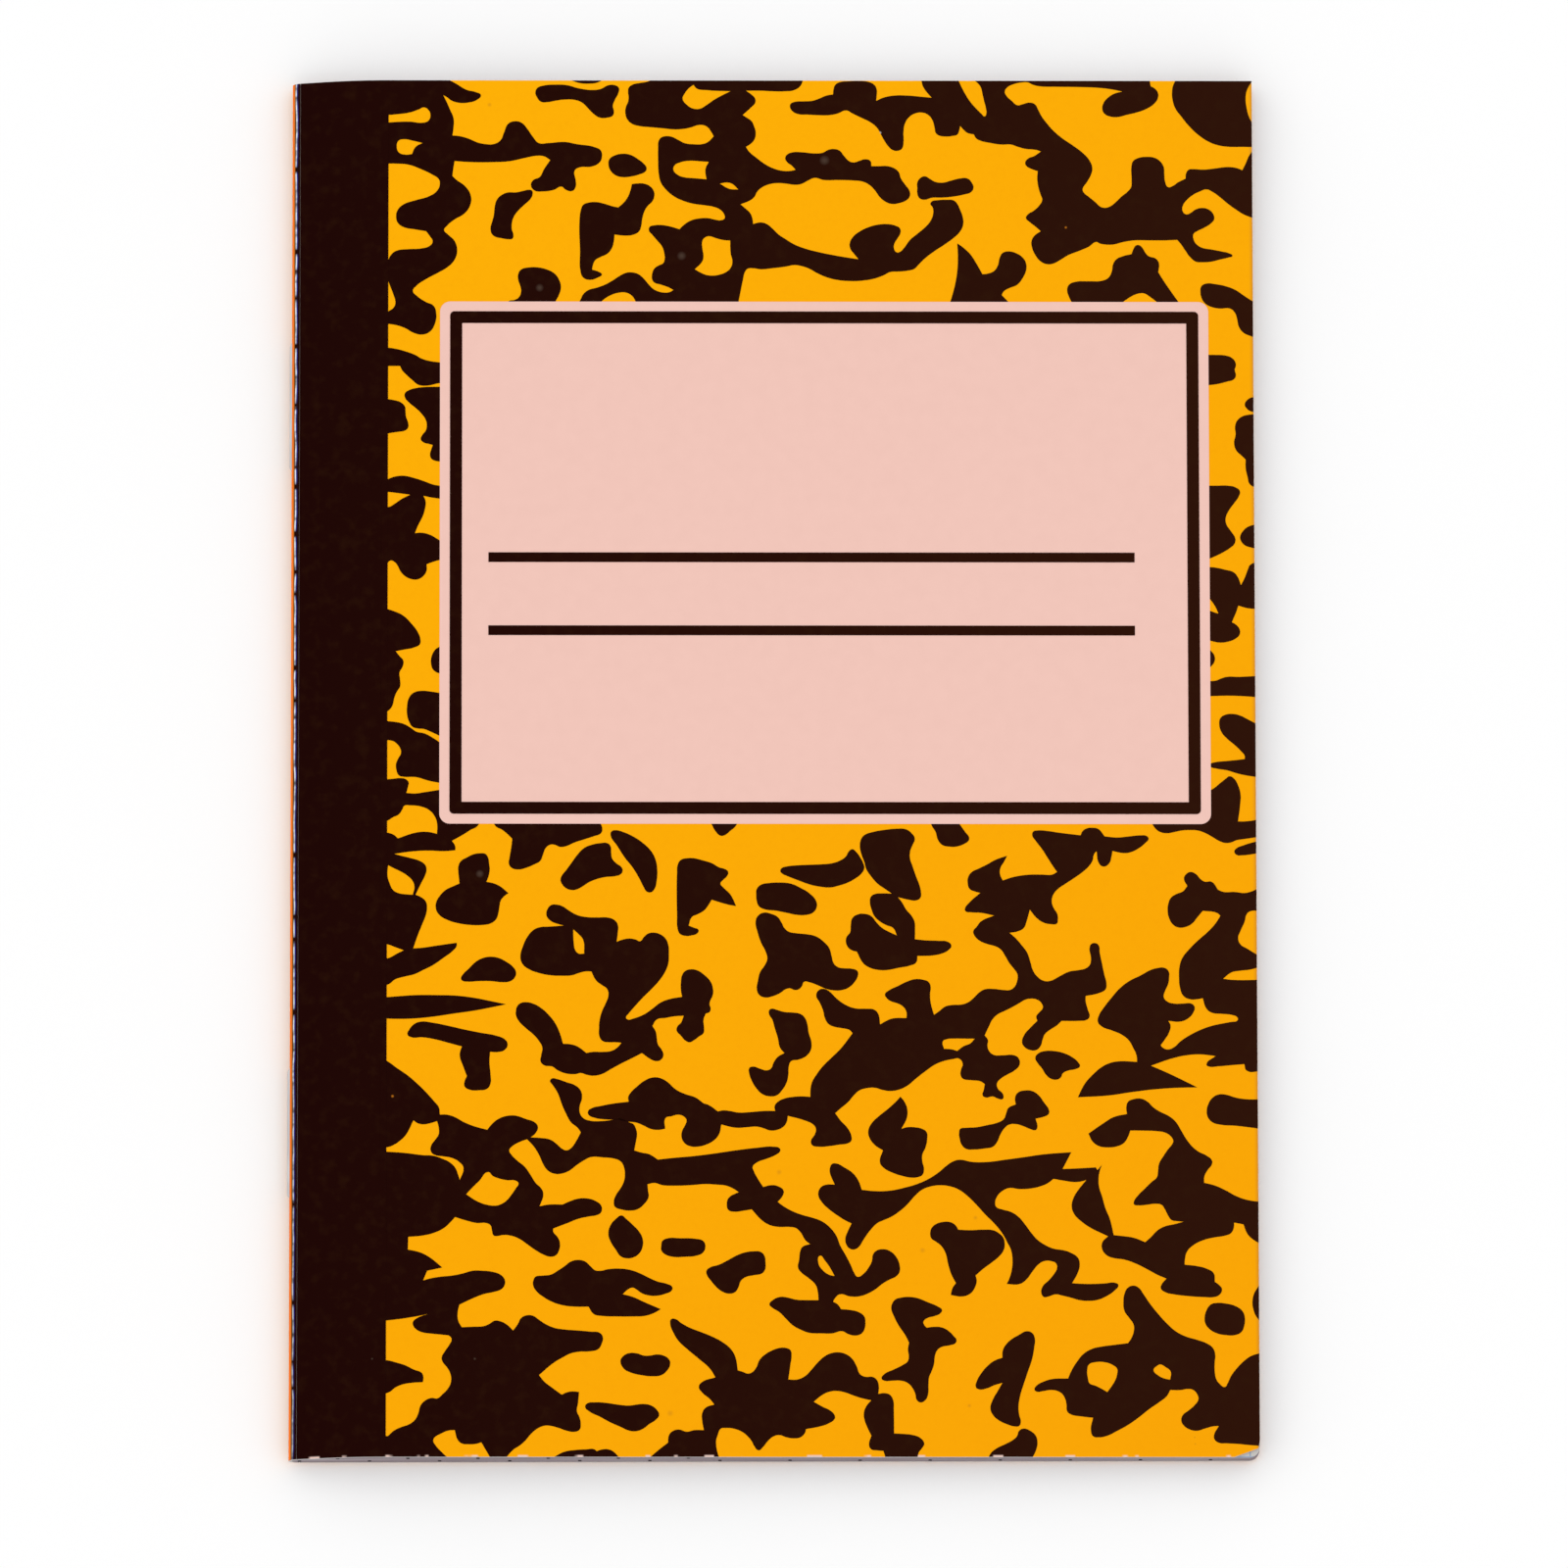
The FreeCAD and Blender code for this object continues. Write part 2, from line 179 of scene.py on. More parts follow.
17 2.5* 0 -3 -3 -4 -9 -7 -10 -7 -8 -4 -8 -4 -10 -2.5 -8 -2.5 -5 -4 -9 -3*

82 423* 18 1.5 15 1 20 0 17 -0.5 16 -2 15 -3 14 -3* -12 -2.5 -15 -3 -20 -3 -20 -3 -15 -1.5 -15 -0.5 -18 0.5*

107.5 389 1.5 4.5 5 5.5 6 2 10 -1 15 -3 15 -3.5 15 -3 13 -2.5 8 -3.5 2.5 -4.5 -2.5 -5 -5 -2 -8.5 0* -0.5 -10
1 -11 0 -8 -3 -5 -8 -1.5 -8 0.5 -4.5 3 0 5 2 4.5* -3.5 9.5 -3 9 0.5 5 1.5 4* -11 3 -13 3.5 -12 2 -10 0

153.5 539 0 6 2.5 5 5 3 6 3 6 1 5 -0.5 2.5 -3.5 1 -6 0.5 -5 -1 -6 -2 -5.5* 7 -1.5 6 -3 7 -6* -4 -3 -3 -4
-1 -5 -1 -6 -2 -6 -5 -4 -8 -1.5 -10 0 -11 1.5 -10 3 -8 5 -3 6 0.5 6 3.5 6 5 5 7 3.5 5.5 2.5* -0.5 5

185 587* 2.5 -5 5.5 -3 5 -4 4.5 -4.5* -1 -8.5 -1.5 -9 -0.5 -6 2.5 -3.5 6 -1.5 7 1.5 7 3 6 3.5 2.5 6 2.5 6
4 3 4 0 5 -2 5 0.5 8 3.5 9 3 9 3 6 2.5 1.5 3.5 -2.5 8*

246.5 532 0.5 3 5 7 5 7 5 7 6 6 7 3 8 1.5 6 0 3 -3 0.5 -5.5 1 -6 3.5 -4 5 -4 1 -3 -2 -3.5 -4 -1.5 -10 -1
-8 -2 -7 -3 -6 -4 -5 -2.5 -5 -0.5 -5 2 -3.5 4

292 574 1 3.5 4 1 6 -1.5 9 -4 9 -6 8 -8 4 -8 1.5 -9 -0.5 -10 -2 -8 -3 -3 -4 0.5 -3 4.5 -4 8 -6 10 -7 9 -7 11

233.5 501 1.5 5 3 3 4 0.5 6 -1.5 6 -4 7 -4 8 -2 11 -0.5 9 0 6 -2 3.5 -4.5 0 -8 -1 -8* 5.5 2 6 1 6 -1 4 -1.5
3 3.5 4 3.5 5 1 6 -1.5 5 -4 2.5 -6 0.5 -9 -0.5 -8 -2.5 -7 -5 -8 -7 -8 -8 -8 -9 -10 -5 -6 -2 -3 1.5 -2 5.5 1
10 4 7 5 8 6 8 3 11 2* -1 6 0 8 1 6 3 4 5 1.5 6 -1 6 -4 6 -6.5 2 -6 0 -6 -2.5 -6 -0.5 -3 1 -4 -1 -3
-3.5 -1.5* -2 -5.5 0.5 -9 -0.5 -3.5 -4.5 -3.5 -4 -3 -4 -2 -4 1.5 -4 4.5 -4 5 1 4 3 3 2.5 6.5* -8.5 -0.5
-8 -1.5 -8 -1.5 -4 -6* 3 -5 1 -6 1 -6 3.5 -5 1.5 -5 -2 -4 -4 -1.5 -5 1.5 -8.5 6* -8.5 -4.5 -9 -4.5 -10 -5.5
-9 -5 -8 -1.5 -6 1 -5 1.5 -5 -1 -8 0.5 -8 3 -5 3.5 -7 1 -3.5 3.5 0.5 6 1 7 -3 6 -5 6 -7 6 -6 6 -3 6 0 4 1 4
3 3 5 1 7 -1.5 7 -4 7 -6.5 6 -8 4 -9 2.8 -9.5* 7.2 -0.5 6 -2 8 -6* 6 1 9 0 8 1 5 3 4 4.5* -6 0.5 -6 0 -5 1
-3 4 -0.5 8 0.5 7 2 8 4 9 2 6 -1 6 -5 4 -5 4 -4.5 8.5* -5.5 0 -6 -1.5 -6 -2 -9 -0.5 -11 0.5 -10 2 -10 4
-5.5 5 -1.5 7 2 8 4 9 6 7 6 2.5 8 0.5 13.5 1* -5.5 1.5 -6 2.5 -3.5 3.5

352.5 539 0.5 7 3 5 6 1.5 6 0 8 -2 8 -2.5 7 -4 5 -1.5 3 -2.5 -1 -4 -4 -4 -2 -3 3 -4 6 -6 5.2 -10.8* -7.2 1.3
-15 4.5* -3 -5 -4 -5 -6 -3.5 -5 -2.5 -3 -8* 5 -2 4 -2 -1 -3 -5 -2 -6 -0.5 -5 2 -2 4.5 -0.5 13 -0.3 20

383 587* 2 -5 3 -5 4 -3.5 4 0.5 5 4 5 4.5 2 4.5*

446.5 541 1.5 2.5 5 1.5 9 1 12 0.5 11 0.5 9 1 7 2.5 5 3.5 3 5 3 2 4 -3 3.5 -5 2.5 -5 1 -4.5 -3 -5.5 -5 -4
-7 -4 -9 -3 -7 -1.5 -8 0.5 -10 2 -11 4 -10 4 -5 2.5

519 563 1 7 3 4 8 3 11 2 10 1 9 -0.5 5 -3.5 3 -5 -2 -6 -2 -5 -0.5 -7 2.5 -8 3 -9 3 -8 1.5 -7 -0.5 -5 -4 -2.5
-6 0.5 -10.5 2.5* 3.5 -4.5 4 -7 5 -6 2.5 -5 0.5 -8 -0.2 -8.5* 9.2 -1 12 -0.5 9 -1 3 -3.5 -2 -3.5 -6 -3.5
-9 -2 -14 -0.5* -1 -6 -6 -3 -10 -2 -10 -2 -8 0 -8 2 -6 4 -6 11* -4 1 -4 3 -2 6 1 4 3 4 0.5 6 1.5 7 5 3.5
6 0.5 6 -2 5 -6 5 -5 6 -3.5 7.5 -3.5* -3.5 7 -6 2.5 -6 3.5 -5 5 -2.5 6 -1.5 7 1 5 4 2.5 6 0.5 9 -0.2* -6 4.2
-7 5 -6 7 -4 6 -2 7 -2.5 7

583 587* 2 -5 3 -5 2 -7 4 -5 6 -1.5 7 0 7 2.5 4 3 0.5 3 -3.5 5 -7 10*

424.5 519 0.5 5 4 4 7 1.5 10 0.5 10 -1 9 -4 8 -5 6 -7 0.5 -6 -3.5 -5 -6 -2 -8 0 -10 2 -10 2 -9 1 -6 3 -2 5

424 494 2 5 5 3 7 -1 6 -3 3.5 -5 2.5 -5 4 -3.5 7 -1.5 10 -1 8 -2 7 -5 5 -6 2 -7 2 -7 4 -3.5 6 -1 7 -0.5
4.5 -2 0.5 -4 -3 -6 -5 -5 -6 -2.5 -7 -0.5 -8 1.5 -8 3.5 -7 2.5 -5 0.5 -2 -4 -3 -3 -4 -0.5 -4 1.5 -4 -1
-5 -3.5 -7 -3 -7 -1 -5 2.5 -2 5 1 8 2 8 4 6 2.5 6 -1.5 7 -4 8 -3 9

479 425 2 5 5 1.5 5 -2.5 6 -6 8 -6 9 -3.5 11 -0.5 6 -0.5 4 -3.5 2 -10.5* 5 3 6 2.5 13 0.5* 0 5.5 -3 5 -5 3
-6 2 -4 3 -1.5 3.5 3.5 3.5 8 4 8 4 8 2.5 7 -0.5 5 -2 2 -4 -0.5 -7 0.5 -8 3 -11.5* 5 3.5 5 4 6 1.5 9 0.5 6 2
5 4 5 5 5 3 8 0.5 9 -1 6 0 4 2.5 2.5 5 0.5 7 -3 5 -4 5 -4 7 -4 6 -5 3 -7 2 -7 3 -5 5 -1 4 3 4 4 5 12 5.5*
-12 2.5 -9 0.5 -5 1 -0.5 2.5 3.5 5 10.5 9.5* -5.5 1.5 -4 2 -2 6 0.5 5 3.5 5 6 3 8 4 7 4 11 4* -3 -6 -3 -5
-0.5 -6 2.5 -6* 7 2.5 9 2 10 1 10 0 9 0 4.5 2.5* -3.5 5 -5 8 -5 8 -6 8 -3 5 1 3.5 4 1 9 -0.5 10 -1.5
20 -2.5* 2 4 4 2.5 5 0.5 5 -1 6 -7* 11 -1 11 1 11 1 5 -0.5 2 -2.5 -3 -4 -6 -5 -7 -3.5 -6 -1 -11 2* -1 -5.5
-2 -6 -5 -3 -4 2.5 -2.5 12* -2.5 -3.5 -1 -5 -3 -5 -5 -5 -8 -6 -9 -6 -7 -5 -4 -5 -1.5 -6 1.5 -6 3.5 -6 0.5 -5
-1 -4 -5 -0.5 -7 1.5 -6 4 -6.5 8* -3 -11 -2.5 -6 -5 -3 -8 -1.5* 6 -5.5 5 -6 5 -7 3 -9 2 -7 4 -6 6 -4 6 0 8 4
9 4.5 9 1.5 6 1.5 4 3.5 1 5 -1 12 2 2.5 3 0.5 3 -2 1 -7 2 -10 2 -10 2 -9 -1 -5 -5 -3 -13 -3* 0 -5 2 -8
1.5 -6 -2.5 -3 -7 -1 -16 0* -4 -4 -6 -4 -5 -4 -2.5 -6 -1.5 -5 -4 -4 -6 0 -5 3 -2 4 2 7 5 6 7 7* -1 4 2 3 4 5
-1 4 -4 3.5 -6 1 -5 -1 -6 -3.5 -7 -4 -6 -3 -6 -3 -5 -5 -3 -6 -4 -8.5* 3 -4.5 -0.5 -5 1.5 -5 4 -3.5 8 -0.5
11 0 4 -3 0.5 -6 -4.5 -5 -7 -4 -6 -4 -3 -4 1 -5 4 -4 1 -3 -1 -2.5 -4 0.5 -5 2 -6 -1 -3 2 1 5 1 5.5* -4 2.5
-8 1 -8 1.5 -2 3.5 0.5 5 1.5 5 -3.5 5 -5.5 -0.5 -9 -2 -8 -3.5 -7 -5 -9 -7 -9 -7.5 -8 -3.5 -7 -1 -7 1 -7 2
-8 -0.5 -6 -2 -5 -4.5 -5 -6 -7 -6 -5 -4.5* 5 -7 6 -6.5 3.5 -7 0 -5 -3.5 -2.5 -7 -1 -10 -1.5 -9 -0.5 -6 1.5
-1 4 3.5 6 1 5 -2.5 4 -7 3.5 -16 4.5* -1 -5.5 -3 -4.5 -6 -3 -6 -0.5 -6 2 -6 1.5 -9 -0.5 -10 -0.5 -13.5 3*
-2 -9 -4.5 -5.5 -7 -4 -8 -2 -7 0.5 -5 3 -2.5 5 0.5 6 3 6 1 4 -2 3 -5 2 -7 -1.5 -5 -1.5 -0.5 -10* -6.5 -1
-7 1 -6 3 -6 2.5 -7 1 -8 1* 0 0.5 -15 0.7 -8 1.3 -6 3 -0.5 3 3.5 3 8 2 10 2 15.5 2* -0.5 4 2 4 6 6 7 5.5 8 3
7 -1 6 -3.5 7 -6.5 9 -4.5 9 -3 7.5 -5.5* 4.5 -1.5 8.5 -6* 4.5 1 6 -0.5 8 -1.5 12 0.5 12 1 9.5 0* -0.5 4.5
3 4 6 3 8 1.5 8 0.5 7.5 -0.5* 0 5.5 1.5 8 4 7 6 8 8 8 8 8 11 14.5* -3 3 -6 1.5 -8 1.5 -5 2.5 -3 5 -2 8 -3 7

82 368* 7.8 -4 8.2 -6 10 -7 8 -7 9 -9 7 -8 4 -5 1 -7* 6 0 7 -2 9 -5 10 -4 11 -3* 5 6 6 4.5 8 2.5 7 0 9 -3
8 -3 3 -4 -2 -6 -4.5 -4* 8.5 -0.5 9 -1.5 6 -4 5 -4.5 4 -1.5 4 2 5 7 4 7.7* -3 4.3 -6 5 -4 7 -4 9 -4 11 -5 8
-2 3 2 2.5 4 -0.5 9 -3 8 -3 5 -5 1 -7 -2 -7 0 -6 3 -5 6 -2.5 9 -0.5 12 1.3 7 1.7* 8 -4 4 -2 2 -4 1 -4 -1 -8
-1.5 -8* 6.5 -2 7 -1.5 8 -5* 13 1.5 17 1.5 20 2.5 20 3 20 2.5 15 1 5.5 -1.5 0.5 -2.5 -4 -3.5 -8 -3.5 -9 -3.5
-4 -4 1 -4 3 -6 5.5 -8.7* 7.5 1.7 6 -1 5 -4 -0.5 -4 -4.8 -6.5* 5.3 -4 8 -4.5 9 -3.5 9 -2.5 9 -3.5 7 -5.5
6 -8 3 -8 6 -11 4 -8 3 -7 3 -3.5 5 2.5 5 6 3 6 1 6 3 3.5 6 1.5 6 -1.5 6 -5.5 3 -7 0 -7 -3 -4 -6 -3 -6 -3.5
-7 -5.5 -7 -4 -8 -2.5 -8 0 -9 2 -4 -3 -2.3 -3.8* 4.3 -2.7 3 -4.3* 8 -0.7 8 -2 5 -4 1 -5 -1 -7 -3 -4 -6 -1.5
-6 1.5 -5 2.5 -9 -2 -10 0 -11 0.5 -8 3 -7 4 -6 6 -6 6 -7 4.5 -2 2.5 3 4 7 3 6 -0.5 8 -2 10 -0.5 10.5 0*
-0.5 7 -2 7 -6 6 -7 5.5 -3 4.5 1 7 1 8 2 4 7 2.7* -4 3.3 -5 8 -4 3.5 -6 1 -9 0 -8 1.5 -7 4 -10 10.7* -7 -1.2
-8 -1 -6 1.5 -1.5 5 1.5 6 9.3 5.6* -5.3 3.4 -6 2.5 -9 1 -10 0.5 -13 -1 -15 -0.5 -11 0.5 -7 2 -6.5 -1.2*
0.5 -5.8 0.5 -6 -4.5 -7 -5 -4 -7 -1.5 -8 1 -6 2.5 -1 5 2 6 4 6 3 6 1 7 -1 7 -3 5 -6 2.5 -9 1 -12 0.3 -5 -2.3
-7 -4.5 -8 -6 -7 -2.5 -6 0 -6 3 -4 5.5 -4 9 -5 8 -5.8 6.3* -6.2 -2.3 -7 -4 -3 -4 2 -4 6 -6 6 -5 5 -7 5 -8
5 -5 2 -5 -3.4 -11.6* 8.4 1.6 12.5 0* 6.5 3 8 2.5 9 0 7 -2.5 4.5 -4 0 -6 -3.5 -2.5 -8 -1.5 -9 -2 -10 -4
-13 -5* 0 -3 4 -5 2 -5 -1 -8 -3 -4 -5 -1 -6 2 -7 4 -7 5 -7 5 -7 3 -8 1 -6 -1 -3 0.5 -1.5 4.5 -1.5 5 -4 2
-8 0 -9 2 -11 3.5* -4 -4.5 -6 -5.5 -9 -4.5 -10 -2.5 -13.5 -1.3* -0.3 -11.7* 10.8 -2.5 8 -4 12.5 -10*
-13.8 -3* -3.7 -9* 7 2 9 1.5 10 1 10 2 9 2.5 9 0 9 -1 7 -2.5 4 -4.5 0 -5 -3 -4 -7 -2.5 -9 -2 -9 -3.5
-13 -6.2* -1.5 -6.8 0.5 -8 3.2 -6* 10.8 0.5 9 0.5 5 2 5 3 5 -0.5 6 -3 5.7 -5.5* 4.3 6 3 5.5 5 2.5 6 -0.5
5 -3.5 6 -4 8 -3.5 9 -1.5 13 -1 11 -1 8 -1 3 -4 -1 -6 -3 -5 -7 -2 -11 -0.5 -7 -1.5 -7 -3.5 -9 -5.5
-12.8 -11* 4.8 -6 7 -5.5 8.8 -6.5* 4.2 2 5 1 6.5 -0.5* -1 -10.5 -1 -7 2.5 -6 1 -6 -1 -5 -4 -2 -8 1 -7 2.5
-8 2 -5 0 -6 -2.5 -6 -5 -5 -6 -5 -4.5 -6 -4 -9 -10.5* -10 0* -4 7 -6 10.3* -4 -1.3 -8 -0.5 -5 0.5 -4 3
-3 9.5* -6 -0.5 -7 -3 -5 -3 -1.5 -3 2.5 -5 5 -5.5 9 -8.5* -66 0* 0 23* 8.5 0* 5.5 5 6 3 8 3 5 4 3 6 2 7
4 4.5 6 2.5 5 -0.5 5 4 5 5.5 2.5 6 -0.5 7 -3 6 -4 5 -1 4 3 6 4 6 2 5 -2 3 -5 1 -10 1 -10 1.5 -5 2.5 -3 4 0 3
3 3 11.7 4.7* -6.7 -1.7 -11 -2 -10 -1.5 -18 -2*

491 265 2 4.5 4 0.5 7 -3.5 8 -5.5 5 -7 3 -8.3* 12 -1.2 14 0.5 12 2.5 12 3.5 11 5 9 6 7 6 6 4 6 1.5 11 -2
15 0 15 2 18 2.5 17 2.5 25.3 2* -2.3 -4.5 -5.7 -11* 12.7 0.5 17.5 1* 1.5 -2.5* 4 4.8* -2 -5.8 -1 -7 0.5 -8
2.5 -8 3 -11 4 -10 3.5 -15* 9.5 -1 9 -1.5 10 -4* 5 4.5 7 7 7 3.5 7 1.5 9 2.5* -6 0.5 -5 1 -3 4 -3 6 -3 4
-5 1 -9 -1 -7 -0.5 -4 1 0 2.5 4 6 6 6 6 6 5 4.5 1 5.5 1 7 4 7 4 6 4 5 1 3 -2 4 -5 3.5 -8 1.5 -12 0.5
-12 0.1* -2 -5.6 -4 -6 -6 -3 -8 -1 -8 1 -6 4 -4 7.7* 6 4.3 8 5.5 9 5.5 12 2.8* -0.5 6.2 1.5 5 5 2.5 7 0.5
6 -3 5 -5 6 -4 8 -4 6 -5 5 -8 4 -7 6 -8 6 -5 7 -3.5 5 -4.5 0 -3.5 -4 -5.5 -3 -6 -0.2 -5.7* 9.2 -2.3 10 -4.5
10 -5.5 10 -3.5 14 -2* 0 -39.5* -9 5 -5 5 -3.7 9* -8.5 1.7* -0.3 -4.7 -2.5 -5 -6 -2.5 -9 -1.5 -10 -2.5
-9 -4.5 -6 -6 -2 -7 -0.3 -5.2* 11.3 -1.3 9 -2.5 6 -4 1 -8* 4 -3 2.5 -4 -2.5 -5 -5 -2 -9 0 -15 1 -12 1.5 -8 2
-4 3.5 1 4 4.2 5* -8.2 3.5 -10 5.5 -10 5 -10 3.5 -10 1.5 -6 2.5 -4 5.5 0 6 5.3 6* -6.3 3 -9 4.5 -8 5.5 -7 7
-2.5 7 1.5 8 4 7 8 10* -5 -1.5 -6 -0.5 -8 1 -11 2* -5 -4 -7 -3 -9 -2 -10 -0.5 -9 1 -6 -2.5 -5 -5 -2 -6 1 -4
6 -2.5 7 -2 7 -4.5 6 -7 5 -7 6 -7 7 -5 8 -3.5 9 -1.5 7 -2.5 6 -4.5 1.5 -6 -1.5 -7 -5.5 -10.3* 14.5 -0.7
15 0.5 10 0.5 2.5 -2 -3.5 -5 -7 -5 -8 -3.5 -8 -1 -8 0.5 -9 2.5 -8 2 -5 1 -7 -2 -4 -0.5 -2.5 4 1.5 6 5 5 5 6
3 6 -1 4 -4 2 -7 0 -5 -3 -5 -6 -6 -8 -6 -4 -11.7 0* 2.7 6 2 8 0.5 9 -1.5 9 -3 6 -3 6 -4 6 -6 7 -7 7 -8 9
-8 8 -8 6 -8 3 -9 1 -8 -1 -8 -3 -7 -6 -7 -8 -8 -7 -7 -4.5 -7 -3 -5 -2.5 -6 -6 -7 -10 -3 -5 -4 -3 -4 0 -4 4
-1 6 2 6 3.7 7.7* -5.7 2.8 -7 4.5 -8 6 -6 6 -3.5 7 1.5 6 4 3 9.5 0.6* -2.5 5.4 -2 6

582 205 1 5 4 4 6 2 7 0 4.5 -2.5 3 -4.5* 10.5 -0.5 12 0.5 9 -0.5 5 -2.5 4 -4 1.5 -5 -1 -7 -4.5 -6 -6 -5
-8 -6 -7 -6.2* 1 -4.8 -2 -7 -4 -5 -7 -2.5 -10.5 1.3* 1.5 6.2 3.2 4.8* -4.2 8.2 -3 10 -2 9 -4 7 -5 4 -4 3

555.3 331.8* 3.7 -4.8 2.5 -7 -0.5 -8 -5 -10* 5 1.5 7 0 7 -1.5 4 -3 0.5 -6 -1.5 -8 -3 -7 0 -6 1.5 -7
-1.5 -5.5 -4 -2 -6 -0.5 -8 1.5 -9 3 -8 4.5 -3.5 5 2.8 11.2* -7.3 4.8 -5 7 -1 6 3 7 7 7 8 6.5 7 6.5

608.5 299 1 3 5.5 1 9 0.5 10 2 10 2.5 5 3 2.5 6 1.5 4 7 3.7* -0.5 6.3 2.5 4.5 6 2 7 -0.5 6 -4 5 -7 4 -6 0 -4
-4 -2.5 -8 -2* 1.5 -8.5 -1.5 -2 -5 1 -6 2.5 -7 2 -6 -0.5 -4 -3 -4 -6 -3 -7 -4 -4.5 -7 -1.5 -10 -1 -7 0.5
-4 3.5 -2 6

678 368 3 4 6 2 8 0 9 -2 8 -4 5 -4.5 1.5 -3.5 -3.5 -2.5 -7 -1.5 -5 -2.5 -2 -4 -4 -2 -6 1.5 -4 4 -3 5 -4 5

436 411 2 2 5 -1 7 -2 8 -0.5 7 -1.5 4 -4 2 -6 1 -7 2.5 -9 -0.5 -7 -4 -5.5 -7 -3.5 -7 -1.5 -2 -4.5 -0.5 -8
-1.5 -7 -4 -7 -5 -5 -6 -1 -7 2 -6 6 -4 7 -2 6 0 5 3 1.5 7 -2 6 -1.5 4 2 2 5 4 5.5 6 3.5* -4 5 -2 9 -3 10
-2 7 -2.5 4

837 615* 5 3 6 5 5 4 3 2 4 -2 4 -7 2 -8 -0.5 -10 -2 -15* 6.5 0 14 2* 0 -16* -9 -1.5 -7 -1 -6 -1 -5 -2
-5 -0.5 -5 1.5 -6 3.5 -7 4 -7 2.5 -7 0.5 -8 -0.5 -7 -1.5 -6 -1 -6 1 -4 2.5 -5 7.5* 46 2*

884 569* -9 -2 -6 -2 -7 -3 -2 -3 2 -3 5 -0.5 17 2.5*

814 534 2 4 4 2 5 -2 4 -4.5 4 -2.5 6 0 6 -7.5* 5 -2 10 0 9 -1 5 1 10 4.5* 0 -22* -10 -0.5 -3 -2.5 -2 -7
-4 -9 -2 -6 2 -6 6 -4 13 -8* 0 -8* -8 -3 -11 -1.5 -8 -1.5 -8 -6* 8 -1 27 0* 0 -84* -14 0 -2 6* -12 -1 -11 -1
-10 0 -1.5 1.5 8.5 8* -4 0.5 -10 1 -10 -0.5 -13 -2.5 -22 -7.5* 7 -3 12 -5.5 23 -11.5* -20 -0.5 -20 -1.5
-20 -2.5 -20 -3 -28.5 -1.7* 6.5 12.7 7 8 8 7 8 4 8 1.5 16.5 -0.5* -0.5 6 -3 7 -4 7 -6 5 -9 4 -9 3.5 -4 4.5
1 6 5 8 7 9 7 8 9 7 10 5 9 5 7 2 6 0 3.5 -3 0.5 -6 -1 -6 -3 -7 -1 -5 3 -4 6 -2 9 0 7 0 3 -3 -1 -5 -4 -5
-7 -3.5 -12 0.5* 2 -4 -1 -6 -4 -7 -4 -5.5* 1.5 -2 4.5 -2 6 2 6 5.5 9 6 10 5 10 3.5 9 2 8 1.5 6 1.5 0 2.5
-5 2.5 -9 1 -9 1 -5 3.5 -3.5 10* -5.5 -1 -6 0 -6 3 -3 7 -1 10 0.5 10 2.5 8 7 9 8 8 9 8 7 8 4 6.5* -3 2.5
-13 2* -5 -6 -5 -6 -6 -3 -6 -0.5 -5 2.5 -4 7 -1 6 0.5 6 2.5 6 5 3.5 6 2.5 4 5*

156 441 2 4 5 5 6 6 6 3.5 7 1.5 8 -1 7 -3.5 6 -4.5 3 -5 -1 -5 -4 -3.5 -7 -1 -11 1 -11 0 -10 -0.5 -5 1

302 222 4 -3 6 -5.5 6 -6.5 3 -6 0 -8 -3 -6 -5 -3.5 -6 -1 -6 2 -4 5.5 -5 8 -2 7 2 8 5 6

338 194 1 4.5 5 2.5 11 0 14 -0.5 7 -2 2 -4.5 -2 -6 -6 -3 -10 -1 -12 0 -7 2.5 -3 3.5

379 171 3 3 8 2.5 8 4 8 4.5 8 3 8 1 6 -0.5 3.5 -3.5 1 -6 -0.5 -7 -3 -3.5 -7 -1.5 -8 -2 -4 -3.5 -2 -5.5
-3 -4.5 -5 -1.5 -6 1.5 -6 4.5 -5 6 -3.5 5

884 329.5* -14 0 -10 1.5 -8 2.5 -7 0.5 -6 -3 -4 -6 -1.5 -7 1.5 -6 4 -4 7 -2 14 -1 24 -3*

82 88.5* 8 0 8 -2 8 -2.5 8 -4 7 -3 1.5 -4 -0.5 -4.5* -9 -0.5 -9 -1.5 -7 -3 -5 -4 -10 -2.5*

222 162 2 3.5 6 1 8 1 6 3.5 6 4 6 4.5 7 1.5 6 -1.5 5 -4.5 4 -3.5 5 -0.5 7 1.5 10 0.5 9 -1 9 -3 9 -4.5 8 -3.5
8 -2 5 -3 -0.5 -3 -5.5 -3 -9 -2 -7 0.5 -6 2 -4 3 -4 2 -4 -1.5 -5 -4.5* 9 -2.5 11 -5 14.5 -6.3* -6.5 -3.7
-8 -2.5 -10 -0.5 -15 0 -14 0.5 -7 1.5 -5 7* -12 0 -10 1 -10 3 -9 5 -6 5 -3 5

269 46 2 3 7 1 10 -0.5 10 -1.5 11 -1 7 1 6 0.5 7 -1.5 5 -4 2 -4.5 -3 -4.5 -6 -4 -6 -4.5 -6 -2 -6 0.5 -8 3.5
-9 4 -10 5.5 -9 4.5

301 88 2 4 5 3 8 0 6 -2 6 0 6 1 6 -1 5 -3.5 1 -4.5 -3 -6 -5 -4 -8 -1 -10 1 -10 2.5 -6 3.5

236 -4* 7 5 7 3.5 10 1.7 10 0.6 7 0.2 2.5 -1.8* 5.5 1.6 5 0 5 -2.3 7 -8.5*

346 123 1 3.5 4 0 5 -3.5 7 -4 10 -4 11 -4.5 10 -5.5 7 -6 4 -7 2.3 -12.6* 4.7 -1.4 4 -1.5 4 1 4 4.5 3 7 5 5
